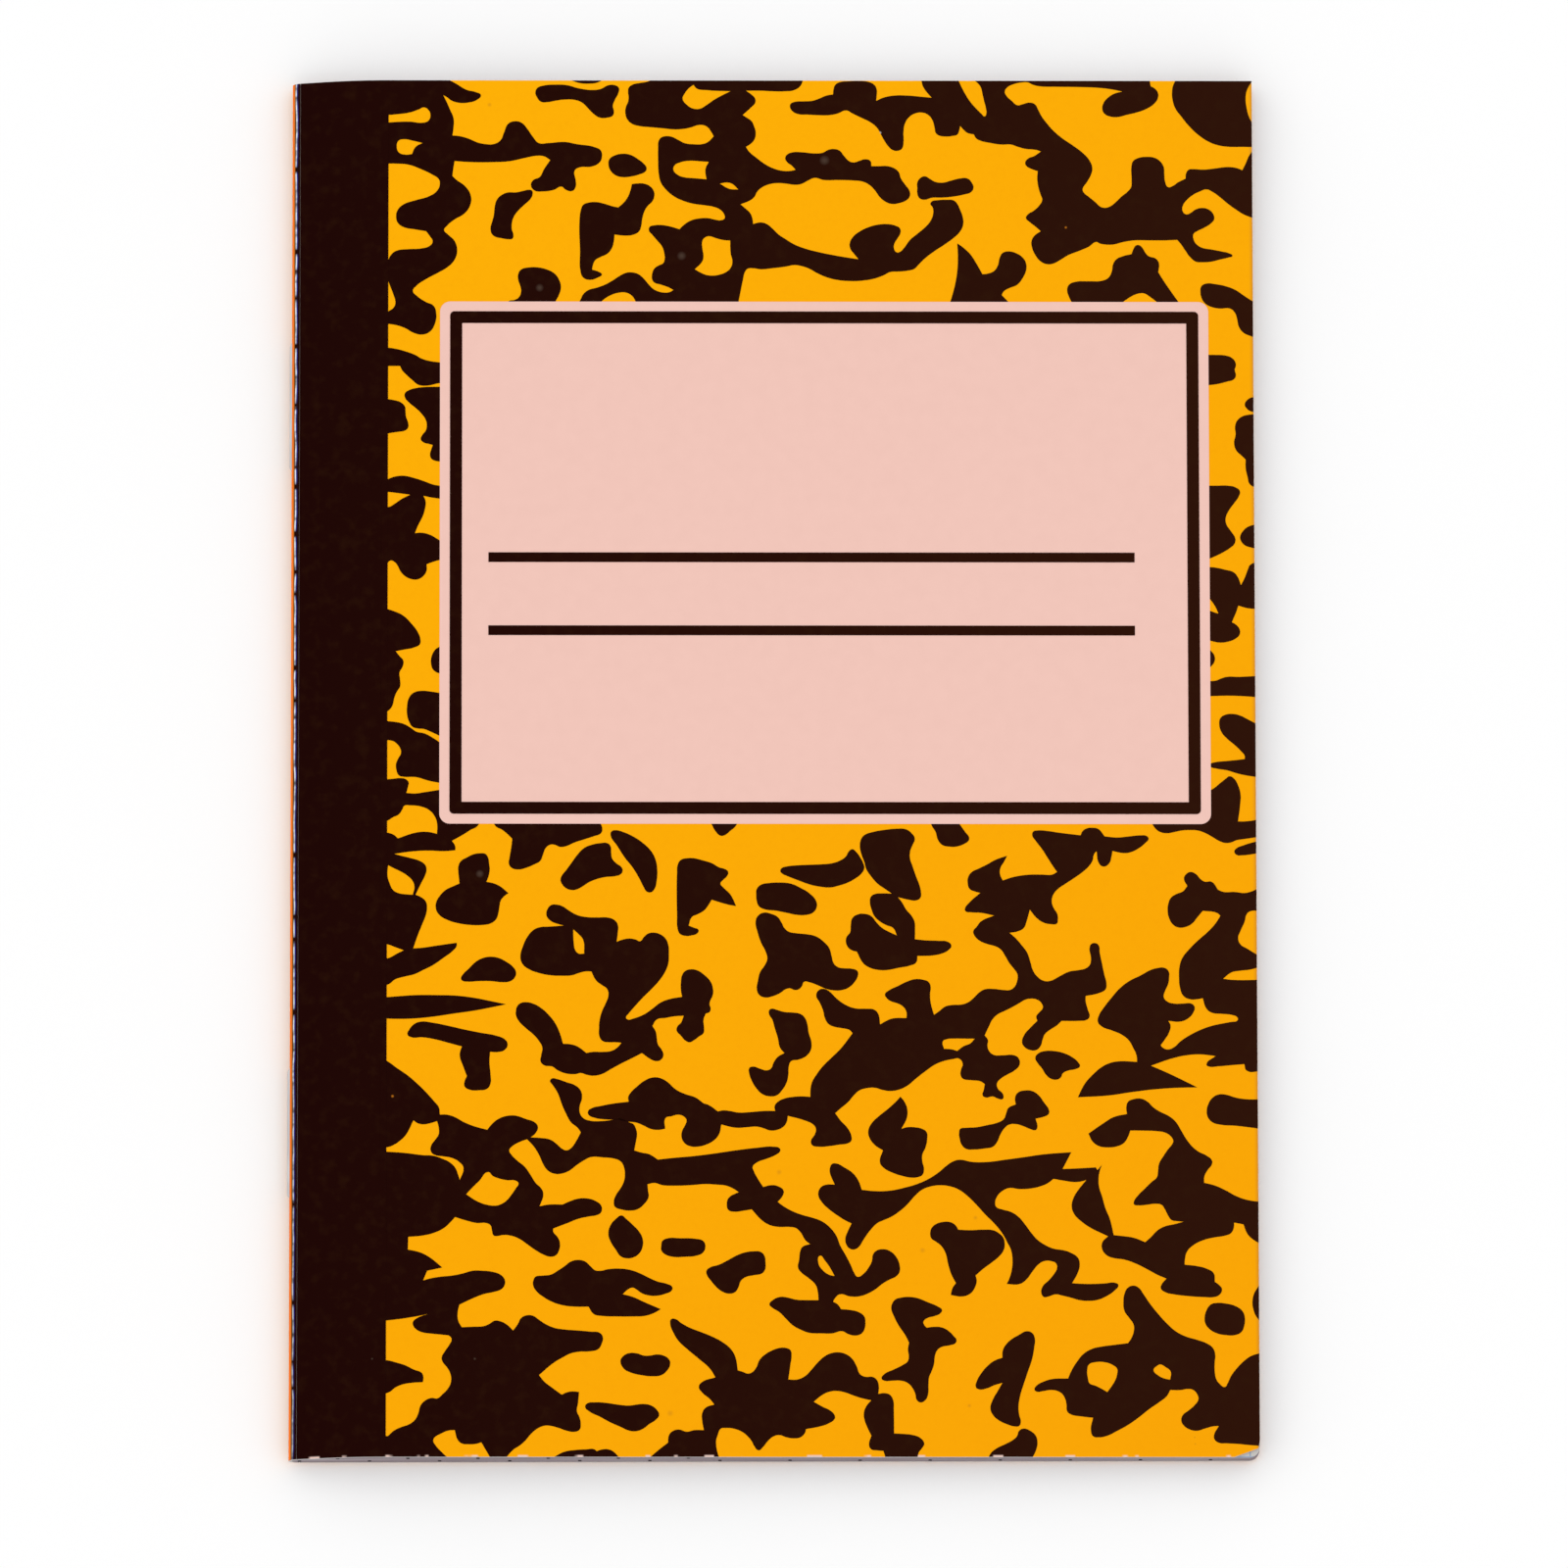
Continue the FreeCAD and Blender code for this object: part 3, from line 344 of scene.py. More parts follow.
7 4 6 2 6 0 4 -2 1 -5 -1 -8 -2 -14* 8 0 7 3 6 6 6 7 7 6 6 2.5 6 0.5 6 -1.5 6 -4.5 4 -7 3 -7 5 -2.5 6 0
4 -2.5 2 -6 -0.5 -7.2* 5.5 0.7 5 -1.5 3 -5 0.5 -9 0.2 -21.5* 9.3 -0.5 8 -1 7 -3 3 -5 -2 -4 -3 -4 -1 -8*
-28 0* -3 9.5* -6 0.5 -5 1 -2 4 2.2 8.4* -3.2 6.6 -3 8 -0.5 7 2.5 6 4.2 5* -7.2 1.5 -8 2.5 -8 3 -7 1.5
-7 -0.5 -7 -3 -8 -6.4* 8 -4.6 7 -3.5 4 -4.5 0 -3 -5 -4 -8 -3 -13 -2.5* -1 -3.5 -4 -4 -6 -1 -7 1 -6 2 -6 -1.5
-5 -4.5 -4 -5 -4 -3 -4 4 -2 4 -4 5 -5 4 -8 3 -7 0.5 -4 -0.5 -3 -6 -1.5 -7 3.5 -17* -67 0* 10 9 10 8* 1 7 4 4
5 1 7 -2 7 1.5 8.5 0* -1.5 8.5 0 7 3 5 8 3* -4 5 -7 6 -3 5 2 4 13 5* -5 8 -10 9 -10 8.5 -8 7.5 -4.5 7

547 140 3 4.5 6 2 7 0.5 7 -1 10 -4 9 -4 3.5 -3 -1.5 -3 -5 -2.5 -7 -2 -3.5 -3.5 1 -3 2 -2.3* 6.5 0.8 7 -0.5
6 -3 5 -5 2.5 -3.5 -1 -3 -5.5 -2 -7 -1.5 -4 -3 -2 -5 -1 -8 -2 -6 -2.5 -6 -0.5 -7 -0.5 -9 -2.5 -5 -4 -2
-3.5 2 -1.5 6 -3 6 -4 4 -6 2 -8 0 -7 0 -2.5 2 2.5 4 8 4 8 4 5 3.5 1.2 3.5 -0.7 8 1 6* -3.5 7 -6 9 -4 8
-2.5 7

662 112 7 3.5 5 -1.5 2.5 -5 -0.5 -8 -2 -11 -4 -12 -4 -12 -3 -10 -1.5 -10 0.5 -7 1.5 -7 -1.5 -3.5 -4 -0.5
-7 2 -8 4 -5 5 -2 6 2 7 5 9 4 7* -7 -2 -7 -3 -7 -1 -3 2 1 6 4 7 6 7 7 5 6 2* 0.5 7 3.5 6 5 4.5

633 -4* 3 7 5 4.5 9 4.5 7 4 3 3 2 5 4 2 6 -2 5 -4.5 1.5 -5.5 -1 -7 -5.5 -11*

676 62 2 3.5 6 3.5 8 2.5 14.5 0.5* 3 7 5.5 9 6 7 8 4.5 9 2 11 1.5 12 1.5* 3.5 5.5 2 7 -0.5 5 -4 6 -4 6 -1 8
1 8 3 5.5 5 2 5 -2 4 -5.5 6 -9 7 -9 8 -9 9 -8 9 -4.5 10 -3 9 -3.5 5 -4 2 -6 -0.5 -7 0 -9 1.5 -7 3 -4
4.5 -2.8 2.5 3.3 3 6.5 6 8 7 7 6 4 11 3* 0 -86* -14 1 -10 1 -10 0.5 -7 0.5 -4 3 -0.5 4 4.5 8.5* -6 -0.5
-7 -2 -7 -2 -7 1.5 -5 3.5 -2 4 1 5 6 5 5 4.5 3.5 5.5 -1 4.5 -3.5 4 -5 1 -6 -1 -10 0* -3 -5.5 -6 -5 -10 -7
-10 -8 -10 -7 -10 -5.5 -8 -4 -8 -1.5 -5 1 -2 5 2 12* -9 1 -12 2.5 -2.5 2.5 -0.5 6 -1.5 6 -2.5 4 -4 2.5 -6 1
-7 -1 -6 -0.5

830.5 127 1.5 7 4 6 5 1.5 9 -0.5 9 -2.5 6 -4.5 2 -6 -0.5 -7 -2.5 -6 -6 -3 -8 0 -8 1.5 -7 4 -3.5 4.5

884 162* -5 -6 -3.5 -6 -1.5 -8 1 -7 2.5 -6 6.5 -7*
"""

# Places inside the black shapes where the orange shows, in the same way
orange_holes = """
84 1247* 12 1 12 1.7 8 2.8 5 2 4 -2.5 1.8 -4.5 -1.8 -5.5 -5 -2 -12 1 -24 -1*

97.5 1223 5.5 1.5 8 -1.5 8.6 -2* -6.6 -4 -3 -6.5* -6.5 -0.5 -5.5 2 -2 5

84 1201.5* 12 0 11 -1 12 -4.5 10 -5 5.5 -4 1 -5 -2.5 -6 -7 -5 -13 -4 -11 -4 -5 -5 -1.5 -6 1.5 -6 5 -4
11 -2.3 10 -1.7* 3 -4 3 -6 -3 -4 -6 -2 -15 -1 -8 -1 -5 -3 -4.5 -8* -3.5 0*

84 1097* 3.5 -3* 2.5 -7 3 -8 2 -7 -1 -5 -6.5 -5* -3.5 0*

368 1276* 3 -3.5 9 -1.5 22 -1* -6 -3 -9 -5 -7 -5 -6 -3.5 -6 0 -6 3.5 -4 6 2 5 4 5

382 1203.5* -8 0.5 -9 0.5 -9 -1.5 -5.5 -3 -1 -4 3.5 -4.5 6 -2.5 10 -1 11 -1* -1 5 0 5

392 1183* 6 1 5 -1 6 -5.5* -8 0.5

382 1133.5 -4 -1.5 -2 -3 0 -7 1 -7 -1 -5 -7 -7.5* 5 -3 6 -2.5 6 -0.5 6 1 6 2.5 4 4 1.5 6 -1.5 7 -0.5 12.5*
-6.5 0.5 -6 1.5

84 894* 6 -0.5 19 -2.5* -7 -3.5 -8 -5.5 -4 -2.3 -6 0*

84 587* 4.5 0.2 5.5 3.3 5 2.5 3.5 5 1.5 3 6 0.5 9 -1 8 -3.5 5 -6 2 -6 0 -10* -6 1.5 -6 0.5 -8 -1 -15.6 -5.2*
-4.4 3.7 -10 2.5*

89.5 546* 4.5 -2.5 8 -4 6 -4 4 -4.5 1.5 -5 -1.5 -7.5* -7 0.5 -6 1 -5 3 -3 6 -2 7

84 472.5* 5 0 7 -2.5 8 -3* -6 -3 -9 -4.5 -5 0*

258 486.5* 5 -4.5 4 -5 1 -13* -5 0 -3 3 -1.5 7

594 383 4 2 7 0.5 9 0 9 0* -4 -4.5 -6 -2.5 -6 -4.5* -5 1.5 -7 0.5*

84 281* 0 4* 6 0 6 2.5 5 3.5 5 5 7 13.7* 4 -2.7 5 -1 6 1 6.5 2* 1.5 -6 0 -6 -3 -5 -4 -6 0 -5 3 -3 8 -1.5
8 -1.5 7 -4 3.5 -5 -3.3 -11.3* -1.7 5.3 -2.5 6 -5 5 -6 3 -9 3 -9 0.5 -16 2

181 262 4 -3.5 6 -2.5 7 -1.5 8 -0.5 2.5 -2.5 -2.5 -4.5 -4 -6 -4 -5 -5 -3.5 -5 -1.5 -9 1 -8 3 -10 6.5* 5 5.5
7 7

482 185 4 -4 5 -7 4.2 -7.8* -5.2 1.3 -6 4.5 -3.5 6

724 81 1.5 4 5.5 2 9 0 7 -2.5 4 -3.5 0 -5 -2 -6 -3 -5 -4 -5.5* -5 3 -6 3 -5 2 -1.5 4.5

784 80 3 3.5 3 1.5 5 -2.5 4.5 -4 -0.5 -7.5* -5 1 -6 3
"""

# Places on the book, in metres in the frame that it stands in
cover_low, cover_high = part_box("front_cover")
nose_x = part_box("cover_spine")[0].x
tail_y = cover_low.y
fore_edge_x = cover_high.x

# Colours
# The orange lit at the head, and the same orange in painted shade towards the tail
orange_lit_at_head = (1.0, 0.440, 0.0)
orange_in_painted_shade = (0.956, 0.376, 0.0)
orange_deep = (0.86, 0.31, 0.0)
orange_on_fold = (1.0, 0.20, 0.02)
rubbed_brown = (0.50, 0.19, 0.02)
ink_left = (0.012, 0.0008, 0.0002)
ink_right = (0.026, 0.0055, 0.0015)
ink_thin = (0.030, 0.009, 0.002)
# A painted highlight along the fold's crease, partly a real crack, and its painted blue fringe
crack_highlight_white = (0.74, 0.80, 0.84)
highlight_fringe_blue = (0.035, 0.035, 0.30)
chip_pink = (0.85, 0.60, 0.52)
mark_brown = (0.32, 0.12, 0.01)
speck_orange = (0.50, 0.16, 0.01)
smudge_pale = (0.16, 0.11, 0.08)
label_pink = (0.888, 0.568, 0.495)
label_shade = (0.874, 0.557, 0.485)
bare_card = (0.60, 0.555, 0.535)
card_shade = (0.57, 0.525, 0.505)
page_white = (0.62, 0.60, 0.57)
# The page edges in painted shade, darker than the faces; the darkest is also used for the layers
page_edge_in_shade = (0.38, 0.33, 0.35)
page_layer_and_shade_dark = (0.16, 0.11, 0.125)
ruling_blue = (0.36, 0.43, 0.55)
ruling_dark = (0.015, 0.008, 0.012)
steel_light = (0.64, 0.64, 0.64)
steel_dark = (0.52, 0.52, 0.53)
floor_grey = (0.80, 0.80, 0.80)
floor_white = (1.0, 1.0, 1.0)

# The unevenness of each finish: how close it lies along x, y and z, and the values of the noise at
# which it starts and is full
orange_grain = (1800, 1800, 1800), 0.45, 0.80
ink_grain = (900, 900, 900), 0.50, 0.80
paper_grain = (700, 700, 700), 0.35, 0.70
wire_grain = (6000, 300, 6000), 0.35, 0.70
sheet_layers = (60, 60, 9000), 0.42, 0.66
chips_on_tail = (420, 0, 0), 0.56, 0.60
breaks_in_crack_highlight = (0, 900, 0), 0.36, 0.56
bends_in_crack_highlight = (0, 260, 0), 0.30, 0.70

# How much of it shows in the colours, and how far it moves the roughness either way
orange_mottle = 0.12
thin_ink_share = 0.35
rough_swing = 0.05

# Marks of use, each as x and y in mm and a radius. Those on the orange are brown, and those on the
# black are specks where the ink is off and smudges where it is thin. Each is full in its core, a
# share of its radius, and fades from there.
brown_marks = (
    (44.5, 26.2, 0.30), (61.7, 4.7, 0.22), (57.5, 19.0, 0.30), (62.3, 22.0, 0.25), (34.6, 4.0, 0.35),
    (18.1, 125.7, 0.25), (82.1, 1.8, 0.12), (82.15, 1.2, 0.12), (11.5, 24.8, 0.28),
)
orange_specks = ((70.9, 114.2, 0.14), (9.4, 33.2, 0.16))
pale_specks = ((53.9, 123.1, 0.16), (9.5, 53.1, 0.18))
smudges = (
    (22.7, 108.5, 0.40), (35.7, 111.5, 0.45), (48.8, 120.5, 0.50), (17.3, 53.8, 0.40),
    (2.6, 121.8, 0.16), (3.6, 121.9, 0.16), (3.8, 121.0, 0.18), (2.7, 126.6, 0.18),
    (15.8, 124.2, 0.30), (7.6, 9.0, 0.12), (2.2, 5.6, 0.20), (5.7, 2.4, 0.14), (16.9, 9.0, 0.14),
)
mark_core = 0.2

# Wear along the edges, in mm: how far the chips reach in from the tail, and the rubbed brown from the
# fore-edge, and how much of the brown shows there
chip_full = 0.08
chip_end = 0.22
rubbed_width = 0.35
rubbed_share = 0.6

# Print on the fold, in mm: the heights between which its upper half starts, then places across it
# from the nose of the spine
upper_half_from = 0.95
upper_half_full = 1.0
ink_starts = 0.14
ink_full = 0.30
red_full = 0.10
red_ends = 0.60
# Where the painted highlight along the crease, partly a crack, and its blue fringe lie, their reach and
# wander
crack_highlight_from_nose = 0.32
highlight_fringe_from_nose = 0.42
crack_highlight_reach = 0.06
crack_highlight_bend = 0.10

# Quarter-inch ruling, in mm. It runs off the sheets, and its ends show as dots on their edges, in one
# row near the cover, which stops short of the fore-edge, and one near the table. Each row has a height
# and a reach up and down from it. Below the rows the edges darken towards the table with painted shade,
# full at the first height and starting at the second.
ruling_pitch = 6.35
ruling_width = 0.14
upper_row_first = 4.5
lower_row_first = 1.0
upper_row_end = 38.0
upper_row = (2.35, 0.42)
lower_row = (0.95, 0.35)
dot_width = 0.30
foot_shade_full = 0.40
foot_shade_start = 0.75


def walked(text):
    """The points of one outline, each as x and y in mm and whether the corner is sharp."""
    steps = text.split()
    x, y = 0.0, 0.0
    points = []
    for step_x, step_y in zip(steps[::2], steps[1::2]):
        x = round(x + float(step_x), 1)
        y = round(y + float(step_y.rstrip(sharp_mark)), 1)
        points.append((x / tenths_in_mm, y / tenths_in_mm, step_y.endswith(sharp_mark)))
    return points


def lies_inside(point, outline):
    """Whether a point lies inside an outline, by how often a line to its right crosses it."""
    px, py = point[:2]
    crossings = 0
    for here, there in zip(outline, outline[1:] + outline[:1]):
        if (here[1] > py) != (there[1] > py):
            x = here[0] + (there[0] - here[0]) * (py - here[1]) / (there[1] - here[1])
            crossings += x > px
    return crossings % 2 == 1


def add_loop(curve, outline):
    """One closed run of the curve through an outline's points."""
    loop = curve.splines.new("BEZIER")
    loop.bezier_points.add(len(outline) - 1)
    for knot, (x, y, is_sharp) in zip(loop.bezier_points, outline):
        knot.co = (x, y, 0)
        knot.handle_left_type = "VECTOR" if is_sharp else "AUTO"
        knot.handle_right_type = "VECTOR" if is_sharp else "AUTO"
    loop.use_cyclic_u = True


def add_black_shape(outline, holes):
    """One filled shape of the marbling, flat and in mm."""
    curve = bpy.data.curves.new("black shape", "CURVE")
    curve.dimensions = "2D"
    curve.fill_mode = "BOTH"
    curve.resolution_u = curve_steps
    add_loop(curve, outline)
    for hole in holes:
        add_loop(curve, hole)
    shape = bpy.data.objects.new("black shape", curve)
    bpy.context.collection.objects.link(shape)
    shape.select_set(True)
    bpy.context.view_layer.objects.active = shape


def cut_away(point, outward):
    """Cuts off what lies beyond a straight trimmed edge, in edit mode."""
    bpy.ops.mesh.select_all(action="SELECT")
    bpy.ops.mesh.bisect(plane_co=(*point, 0), plane_no=(*outward, 0), clear_outer=True)


def card_height(x):
    """The printed face's height over the table, in mm, which falls from the belly to the fore-edge."""
    fall = (belly_height - fore_edge_height) / (cover_width - belly_from_spine)
    return belly_height - fall * (x - belly_from_spine)


def on_cover(x, y, below=0.0):
    """A point of the printed face, or of the card a little below it, from its x and y in mm."""
    return Vector((nose_x + x * mm, tail_y + y * mm, (card_height(x) - below) * mm))


def cover_marbling():
    """The whole marbling as one closed film of ink on the printed face."""
    bpy.ops.object.select_all(action="DESELECT")
    holes = [walked(text) for text in orange_holes.split("\n\n")]
    for text in black_shapes.split("\n\n"):
        outline = walked(text)
        add_black_shape(outline, [hole for hole in holes if lies_inside(hole[0], outline)])
    bpy.ops.object.convert(target="MESH")
    bpy.ops.object.join()
    marbling = bpy.context.object
    marbling.name = "cover_marbling"

    worn_along = Vector(worn_corner_top) - Vector(worn_corner_foot)
    bpy.ops.object.mode_set(mode="EDIT")
    cut_away((cover_width, 0), (1, 0))
    cut_away((0, 0), (0, -1))
    cut_away((0, cover_height), (0, 1))
    cut_away(worn_corner_foot, (worn_along.y, -worn_along.x))
    bpy.ops.mesh.select_all(action="SELECT")
    bpy.ops.mesh.remove_doubles(threshold=join_within)
    bpy.ops.mesh.normals_make_consistent(inside=False)
    bpy.ops.object.mode_set(mode="OBJECT")

    for vertex in marbling.data.vertices:
        vertex.co = on_cover(vertex.co.x, vertex.co.y, film_sunk)
    thick = marbling.modifiers.new("ink", "SOLIDIFY")
    thick.thickness = film_thickness * mm
    thick.offset = 1
    bpy.ops.object.modifier_apply(modifier=thick.name)
    return marbling


def new_material(name, rough, gloss):
    """A material and its node tree."""
    material = bpy.data.materials.new(name)
    material.use_nodes = True
    shader = material.node_tree.nodes["Principled BSDF"]
    shader.inputs["Roughness"].default_value = rough
    shader.inputs["Specular IOR Level"].default_value = gloss
    return material, material.node_tree


def painted(material, colour):
    """The material, with a colour that its nodes work out."""
    tree = material.node_tree
    tree.links.new(colour, tree.nodes["Principled BSDF"].inputs["Base Color"])
    return material


def place_on_book(tree):
    """X, Y and Z of the point on the book."""
    place = tree.nodes.new("ShaderNodeTexCoord")
    parts = tree.nodes.new("ShaderNodeSeparateXYZ")
    tree.links.new(place.outputs["Object"], parts.inputs["Vector"])
    return parts.outputs


def ramp_over(tree, value, start, end):
    """0 before the start and 1 past the end, rising in between."""
    ramp = tree.nodes.new("ShaderNodeMapRange")
    ramp.inputs["From Min"].default_value = start
    ramp.inputs["From Max"].default_value = end
    tree.links.new(value, ramp.inputs["Value"])
    return ramp.outputs["Result"]


def mixed(tree, share, first, second):
    """One colour going over into the other. Each is three numbers or another colour's output."""
    blend = tree.nodes.new("ShaderNodeMix")
    blend.data_type = "RGBA"
    tree.links.new(share, blend.inputs["Factor"])
    for colour, socket in ((first, blend.inputs[6]), (second, blend.inputs[7])):
        if isinstance(colour, tuple):
            socket.default_value = (*colour, 1)
        else:
            tree.links.new(colour, socket)
    return blend.outputs[2]


def worked_out(tree, kind, *values):
    """The outcome of one piece of maths. Each value is a number or a node's output."""
    maths = tree.nodes.new("ShaderNodeMath")
    maths.operation = kind
    for value, socket in zip(values, maths.inputs):
        if isinstance(value, (int, float)):
            socket.default_value = value
        else:
            tree.links.new(value, socket)
    return maths.outputs[0]


def times(tree, first, second):
    return worked_out(tree, "MULTIPLY", first, second)


def within(tree, value, middle, reach):
    """1 where the value is no further than the reach from the middle, and 0 elsewhere."""
    return worked_out(tree, "COMPARE", value, middle, reach)


def uneven(tree, grain):
    """A value that wanders from 0 to 1 over the surface, with one of the grains above."""
    closeness, start, full = grain
    place = tree.nodes.new("ShaderNodeTexCoord")
    stretch = tree.nodes.new("ShaderNodeMapping")
    stretch.inputs["Scale"].default_value = closeness
    noise = tree.nodes.new("ShaderNodeTexNoise")
    noise.inputs["Scale"].default_value = 1.0
    tree.links.new(place.outputs["Object"], stretch.inputs["Vector"])
    tree.links.new(stretch.outputs["Vector"], noise.inputs["Vector"])
    return ramp_over(tree, noise.outputs["Fac"], start, full)


def ruled(tree, value, start, width):
    """1 on lines of a width that come back at every pitch of the ruling."""
    along = worked_out(tree, "SUBTRACT", value, start)
    step = worked_out(tree, "FLOORED_MODULO", along, ruling_pitch * mm)
    return within(tree, step, width / 2, width / 2)


def marked(tree, colour, marks, mark_colour, strength):
    """A colour with soft round marks in another."""
    place = tree.nodes.new("ShaderNodeTexCoord")
    for x, y, radius in marks:
        distance = tree.nodes.new("ShaderNodeVectorMath")
        distance.operation = "DISTANCE"
        distance.inputs[1].default_value = on_cover(x, y)
        tree.links.new(place.outputs["Object"], distance.inputs[0])
        share = ramp_over(tree, distance.outputs["Value"], radius * mm, mark_core * radius * mm)
        colour = mixed(tree, times(tree, share, strength), colour, mark_colour)
    return colour


def chipped(tree, colour, y):
    """A print with its ink chipped off in places along the tail edge."""
    near_edge = ramp_over(tree, y, tail_y + chip_end * mm, tail_y + chip_full * mm)
    chips = times(tree, near_edge, uneven(tree, chips_on_tail))
    return mixed(tree, chips, colour, chip_pink)


def clouded(name, colour, shade, grain, rough, gloss):
    """A finish whose colour and roughness wander a little over the surface."""
    material, tree = new_material(name, rough, gloss)
    cloud = uneven(tree, grain)
    roughness = tree.nodes.new("ShaderNodeMapRange")
    roughness.inputs["To Min"].default_value = rough - rough_swing
    roughness.inputs["To Max"].default_value = rough + rough_swing
    tree.links.new(cloud, roughness.inputs["Value"])
    tree.links.new(roughness.outputs["Result"], tree.nodes["Principled BSDF"].inputs["Roughness"])
    return painted(material, mixed(tree, cloud, colour, shade))


def orange_print():
    """Orange with painted shade that darkens it towards the tail and the fore-edge, rubbed brown along the
    fore-edge.
    """
    material, tree = new_material("orange print", rough=0.55, gloss=0.03)
    x, y, z = place_on_book(tree)
    across = worked_out(tree, "SUBTRACT", x, y)
    # Painted shade: the orange darkens from the head by the spine to the tail by the fore-edge
    painted_shading = ramp_over(tree, across, nose_x - cover_high.y, fore_edge_x - tail_y)
    rubbed = ramp_over(tree, x, fore_edge_x - rubbed_width * mm, fore_edge_x)
    colour = mixed(tree, painted_shading, orange_lit_at_head, orange_in_painted_shade)
    colour = mixed(tree, times(tree, rubbed, rubbed_share), colour, rubbed_brown)
    mottle = times(tree, uneven(tree, orange_grain), orange_mottle)
    colour = mixed(tree, mottle, colour, orange_deep)
    colour = marked(tree, colour, brown_marks, mark_brown, strength=0.28)
    return painted(material, chipped(tree, colour, y))


def black_print():
    """Black ink, warmer and thinner towards the fore-edge."""
    material, tree = new_material("black print", rough=0.5, gloss=0.02)
    x, y, z = place_on_book(tree)
    colour = mixed(tree, ramp_over(tree, x, nose_x, fore_edge_x), ink_left, ink_right)
    thin = times(tree, uneven(tree, ink_grain), thin_ink_share)
    colour = mixed(tree, thin, colour, ink_thin)
    colour = marked(tree, colour, smudges, smudge_pale, strength=0.30)
    colour = marked(tree, colour, orange_specks, speck_orange, strength=0.9)
    colour = marked(tree, colour, pale_specks, page_white, strength=0.7)
    return painted(material, chipped(tree, colour, y))


def fold_print():
    """The fold: the band's black ends on it, and along its end runs a painted highlight, partly a
    crack to bare card, most towards the head, with a painted blue fringe beside it."""
    material, tree = new_material("print on the fold", rough=0.5, gloss=0.03)
    x, y, z = place_on_book(tree)
    upper = ramp_over(tree, z, upper_half_from * mm, upper_half_full * mm)
    reddened = ramp_over(tree, x, nose_x + red_ends * mm, nose_x + red_full * mm)
    # The fold's orange is the orange in painted shade, reddened towards the nose
    colour = mixed(tree, times(tree, reddened, upper), orange_in_painted_shade, orange_on_fold)
    inked = ramp_over(tree, x, nose_x + ink_starts * mm, nose_x + ink_full * mm)
    colour = mixed(tree, times(tree, inked, upper), colour, ink_left)

    towards_head = ramp_over(tree, y, 2 * tail_y, 0.0)
    shown = times(tree, uneven(tree, breaks_in_crack_highlight), towards_head)
    shown = times(tree, shown, upper)
    bend = times(tree, uneven(tree, bends_in_crack_highlight), crack_highlight_bend * mm)
    across = worked_out(tree, "SUBTRACT", x, bend)
    # A painted highlight along the crease, partly a crack to bare card, and its painted blue fringe
    for from_nose, line_colour in ((highlight_fringe_from_nose, highlight_fringe_blue), (crack_highlight_from_nose, crack_highlight_white)):
        line = within(tree, across, nose_x + from_nose * mm, crack_highlight_reach * mm)
        colour = mixed(tree, times(tree, line, shown), colour, line_colour)
    return painted(material, colour)


def dots(tree, x, z, first, row):
    """1 on the ends of the ruling in one row, which is given by its height and reach."""
    height, reach = row
    start = nose_x + (first - dot_width / 2) * mm
    return times(tree, ruled(tree, x, start, dot_width * mm), within(tree, z, height * mm, reach * mm))


def page_edges():
    """Trimmed sheets in painted shade, darker than the pages' faces and darker still near the table,
    light and dark in layers, with the dark ends of the ruling.
    """
    material, tree = new_material("page edges", rough=0.85, gloss=0.05)
    x, y, z = place_on_book(tree)
    layers = uneven(tree, sheet_layers)
    # Painted shade that darkens the edges towards the table
    foot = ramp_over(tree, z, foot_shade_start * mm, foot_shade_full * mm)
    colour = mixed(tree, worked_out(tree, "MAXIMUM", layers, foot), page_edge_in_shade, page_layer_and_shade_dark)
    upper_dots = dots(tree, x, z, upper_row_first, upper_row)
    upper_dots = times(tree, upper_dots, within(tree, x, nose_x, upper_row_end * mm))
    lower_dots = dots(tree, x, z, lower_row_first, lower_row)
    ends = worked_out(tree, "MAXIMUM", upper_dots, lower_dots)
    return painted(material, mixed(tree, ends, colour, ruling_dark))


def ruled_paper():
    """The pages' faces, with fine square ruling that runs off the sheet."""
    material, tree = new_material("ruled paper", rough=0.85, gloss=0.05)
    x, y, z = place_on_book(tree)
    upright = ruled(tree, x, nose_x + upper_row_first * mm, ruling_width * mm)
    level = ruled(tree, y, tail_y, ruling_width * mm)
    lines = worked_out(tree, "MAXIMUM", upright, level)
    return painted(material, mixed(tree, lines, page_white, ruling_blue))


def white_floor():
    """Off-white paper that the camera sees as plain white."""
    material, tree = new_material("floor", rough=0.9, gloss=0.0)
    path = tree.nodes.new("ShaderNodeLightPath")
    seen = path.outputs["Is Camera Ray"]
    for ray in ("Is Glossy Ray", "Is Transmission Ray"):
        seen = worked_out(tree, "MAXIMUM", seen, path.outputs[ray])
    return painted(material, mixed(tree, seen, floor_grey, floor_white))


def dress(node, *materials):
    """Gives a piece its materials in place of those that it came with."""
    piece = bpy.data.objects[node]
    piece.data.materials.clear()
    for material in materials:
        piece.data.materials.append(material)
    return piece


def print_side(piece, is_printed):
    """Gives the second material to the faces whose normal is_printed picks, and the first to the rest."""
    for face in piece.data.polygons:
        face.material_index = 1 if is_printed(face.normal) else 0


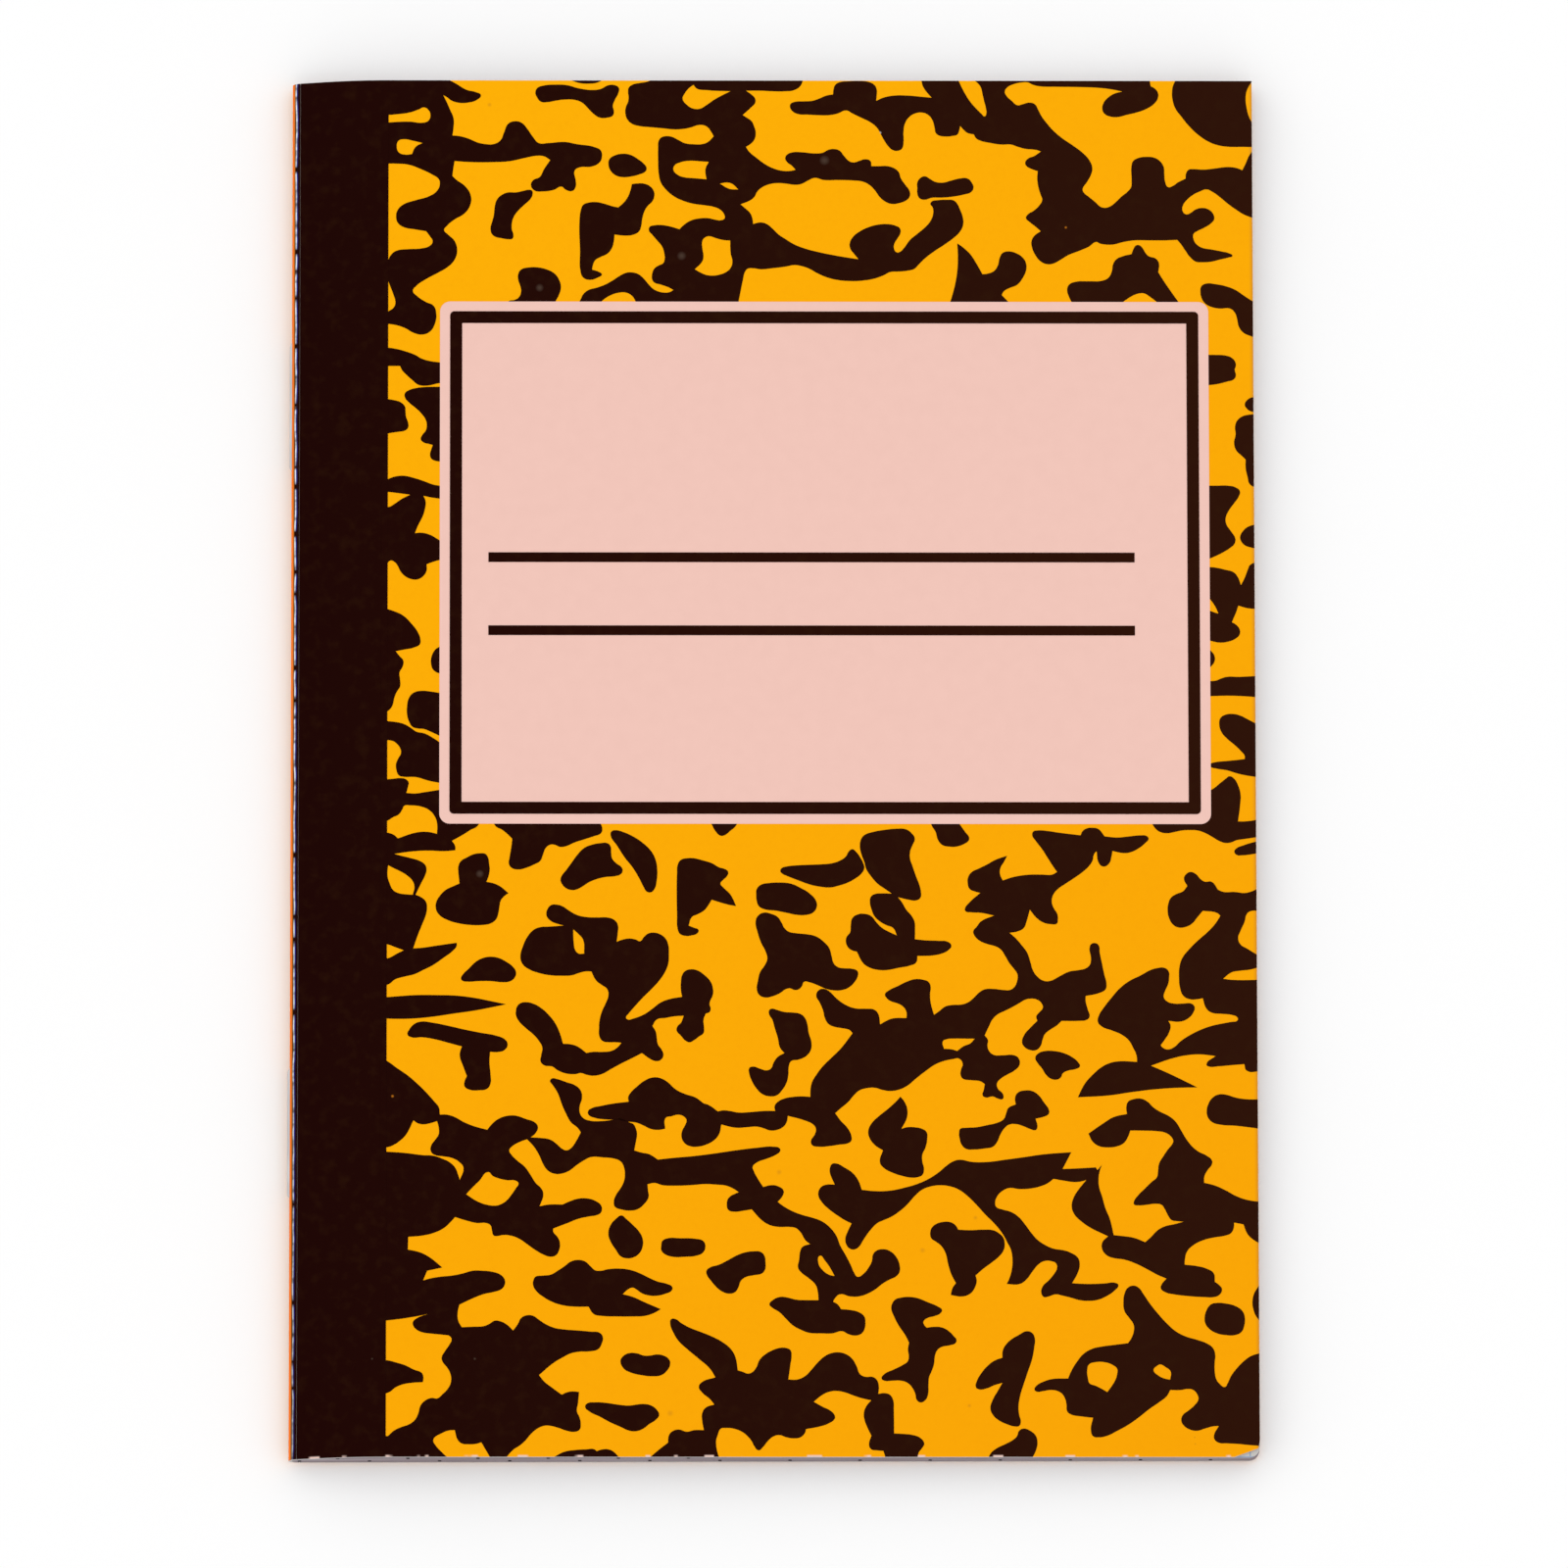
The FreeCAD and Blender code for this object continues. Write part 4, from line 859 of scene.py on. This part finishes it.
# The book's pieces. A face counts as level where its normal points up or down by more than this.
level_from = 0.3
orange = orange_print()
black = black_print()
bare = clouded("bare card", bare_card, card_shade, paper_grain, rough=0.8, gloss=0.1)
pink = clouded("label print", label_pink, label_shade, paper_grain, rough=0.55, gloss=0.03)
steel = clouded("staple wire", steel_light, steel_dark, wire_grain, rough=0.35, gloss=0.5)
steel.node_tree.nodes["Principled BSDF"].inputs["Metallic"].default_value = 1.0

print_side(dress("front_cover", bare, orange), lambda normal: normal.z > level_from)
print_side(dress("back_cover", bare, orange), lambda normal: normal.z < -level_from)
print_side(dress("cover_spine", bare, fold_print()), lambda normal: normal.x < 0)
print_side(dress("page_block", ruled_paper(), page_edges()), lambda normal: abs(normal.z) < level_from)
dress("spine_band", black)
dress("label_panel", pink)
dress("label_frame", black)
dress("label_lines", black)
dress("staples", steel)

marbling = cover_marbling()
marbling.data.materials.append(black)
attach(marbling, "front")

# Floor, just low enough for the back cover to open flat on it
floor_size = 4
floor_drop = 0.45 * mm
bpy.ops.object.select_all(action="DESELECT")
bpy.ops.mesh.primitive_plane_add(size=floor_size, location=(0, 0, -floor_drop))
floor = bpy.context.object
floor.name = "floor"
floor.data.materials.append(white_floor())

# Plain white light from all round
world = bpy.data.worlds.new("plain white room")
bpy.context.scene.world = world
world.use_nodes = True
world.node_tree.nodes["Background"].inputs["Color"].default_value = (1, 1, 1, 1)
world.node_tree.nodes["Background"].inputs["Strength"].default_value = 1.0

# Camera, high over the tail side
tilt = math.radians(11.5)
turn = math.radians(-0.09)
looked_at = Vector((0.0005, -0.0018, 0.0026))
camera_distance = 1.913
camera_data = bpy.data.cameras.new("camera")
camera_data.lens = 482.0
camera_data.dof.use_dof = False
camera = bpy.data.objects.new("camera", camera_data)
bpy.context.collection.objects.link(camera)
camera.location = looked_at + Vector((0, -math.sin(tilt), math.cos(tilt))) * camera_distance
camera.rotation_euler = (tilt, 0, turn)
scene = bpy.context.scene
scene.camera = camera
scene.render.resolution_x = 1600
scene.render.resolution_y = 1600
scene.view_settings.view_transform = "Standard"
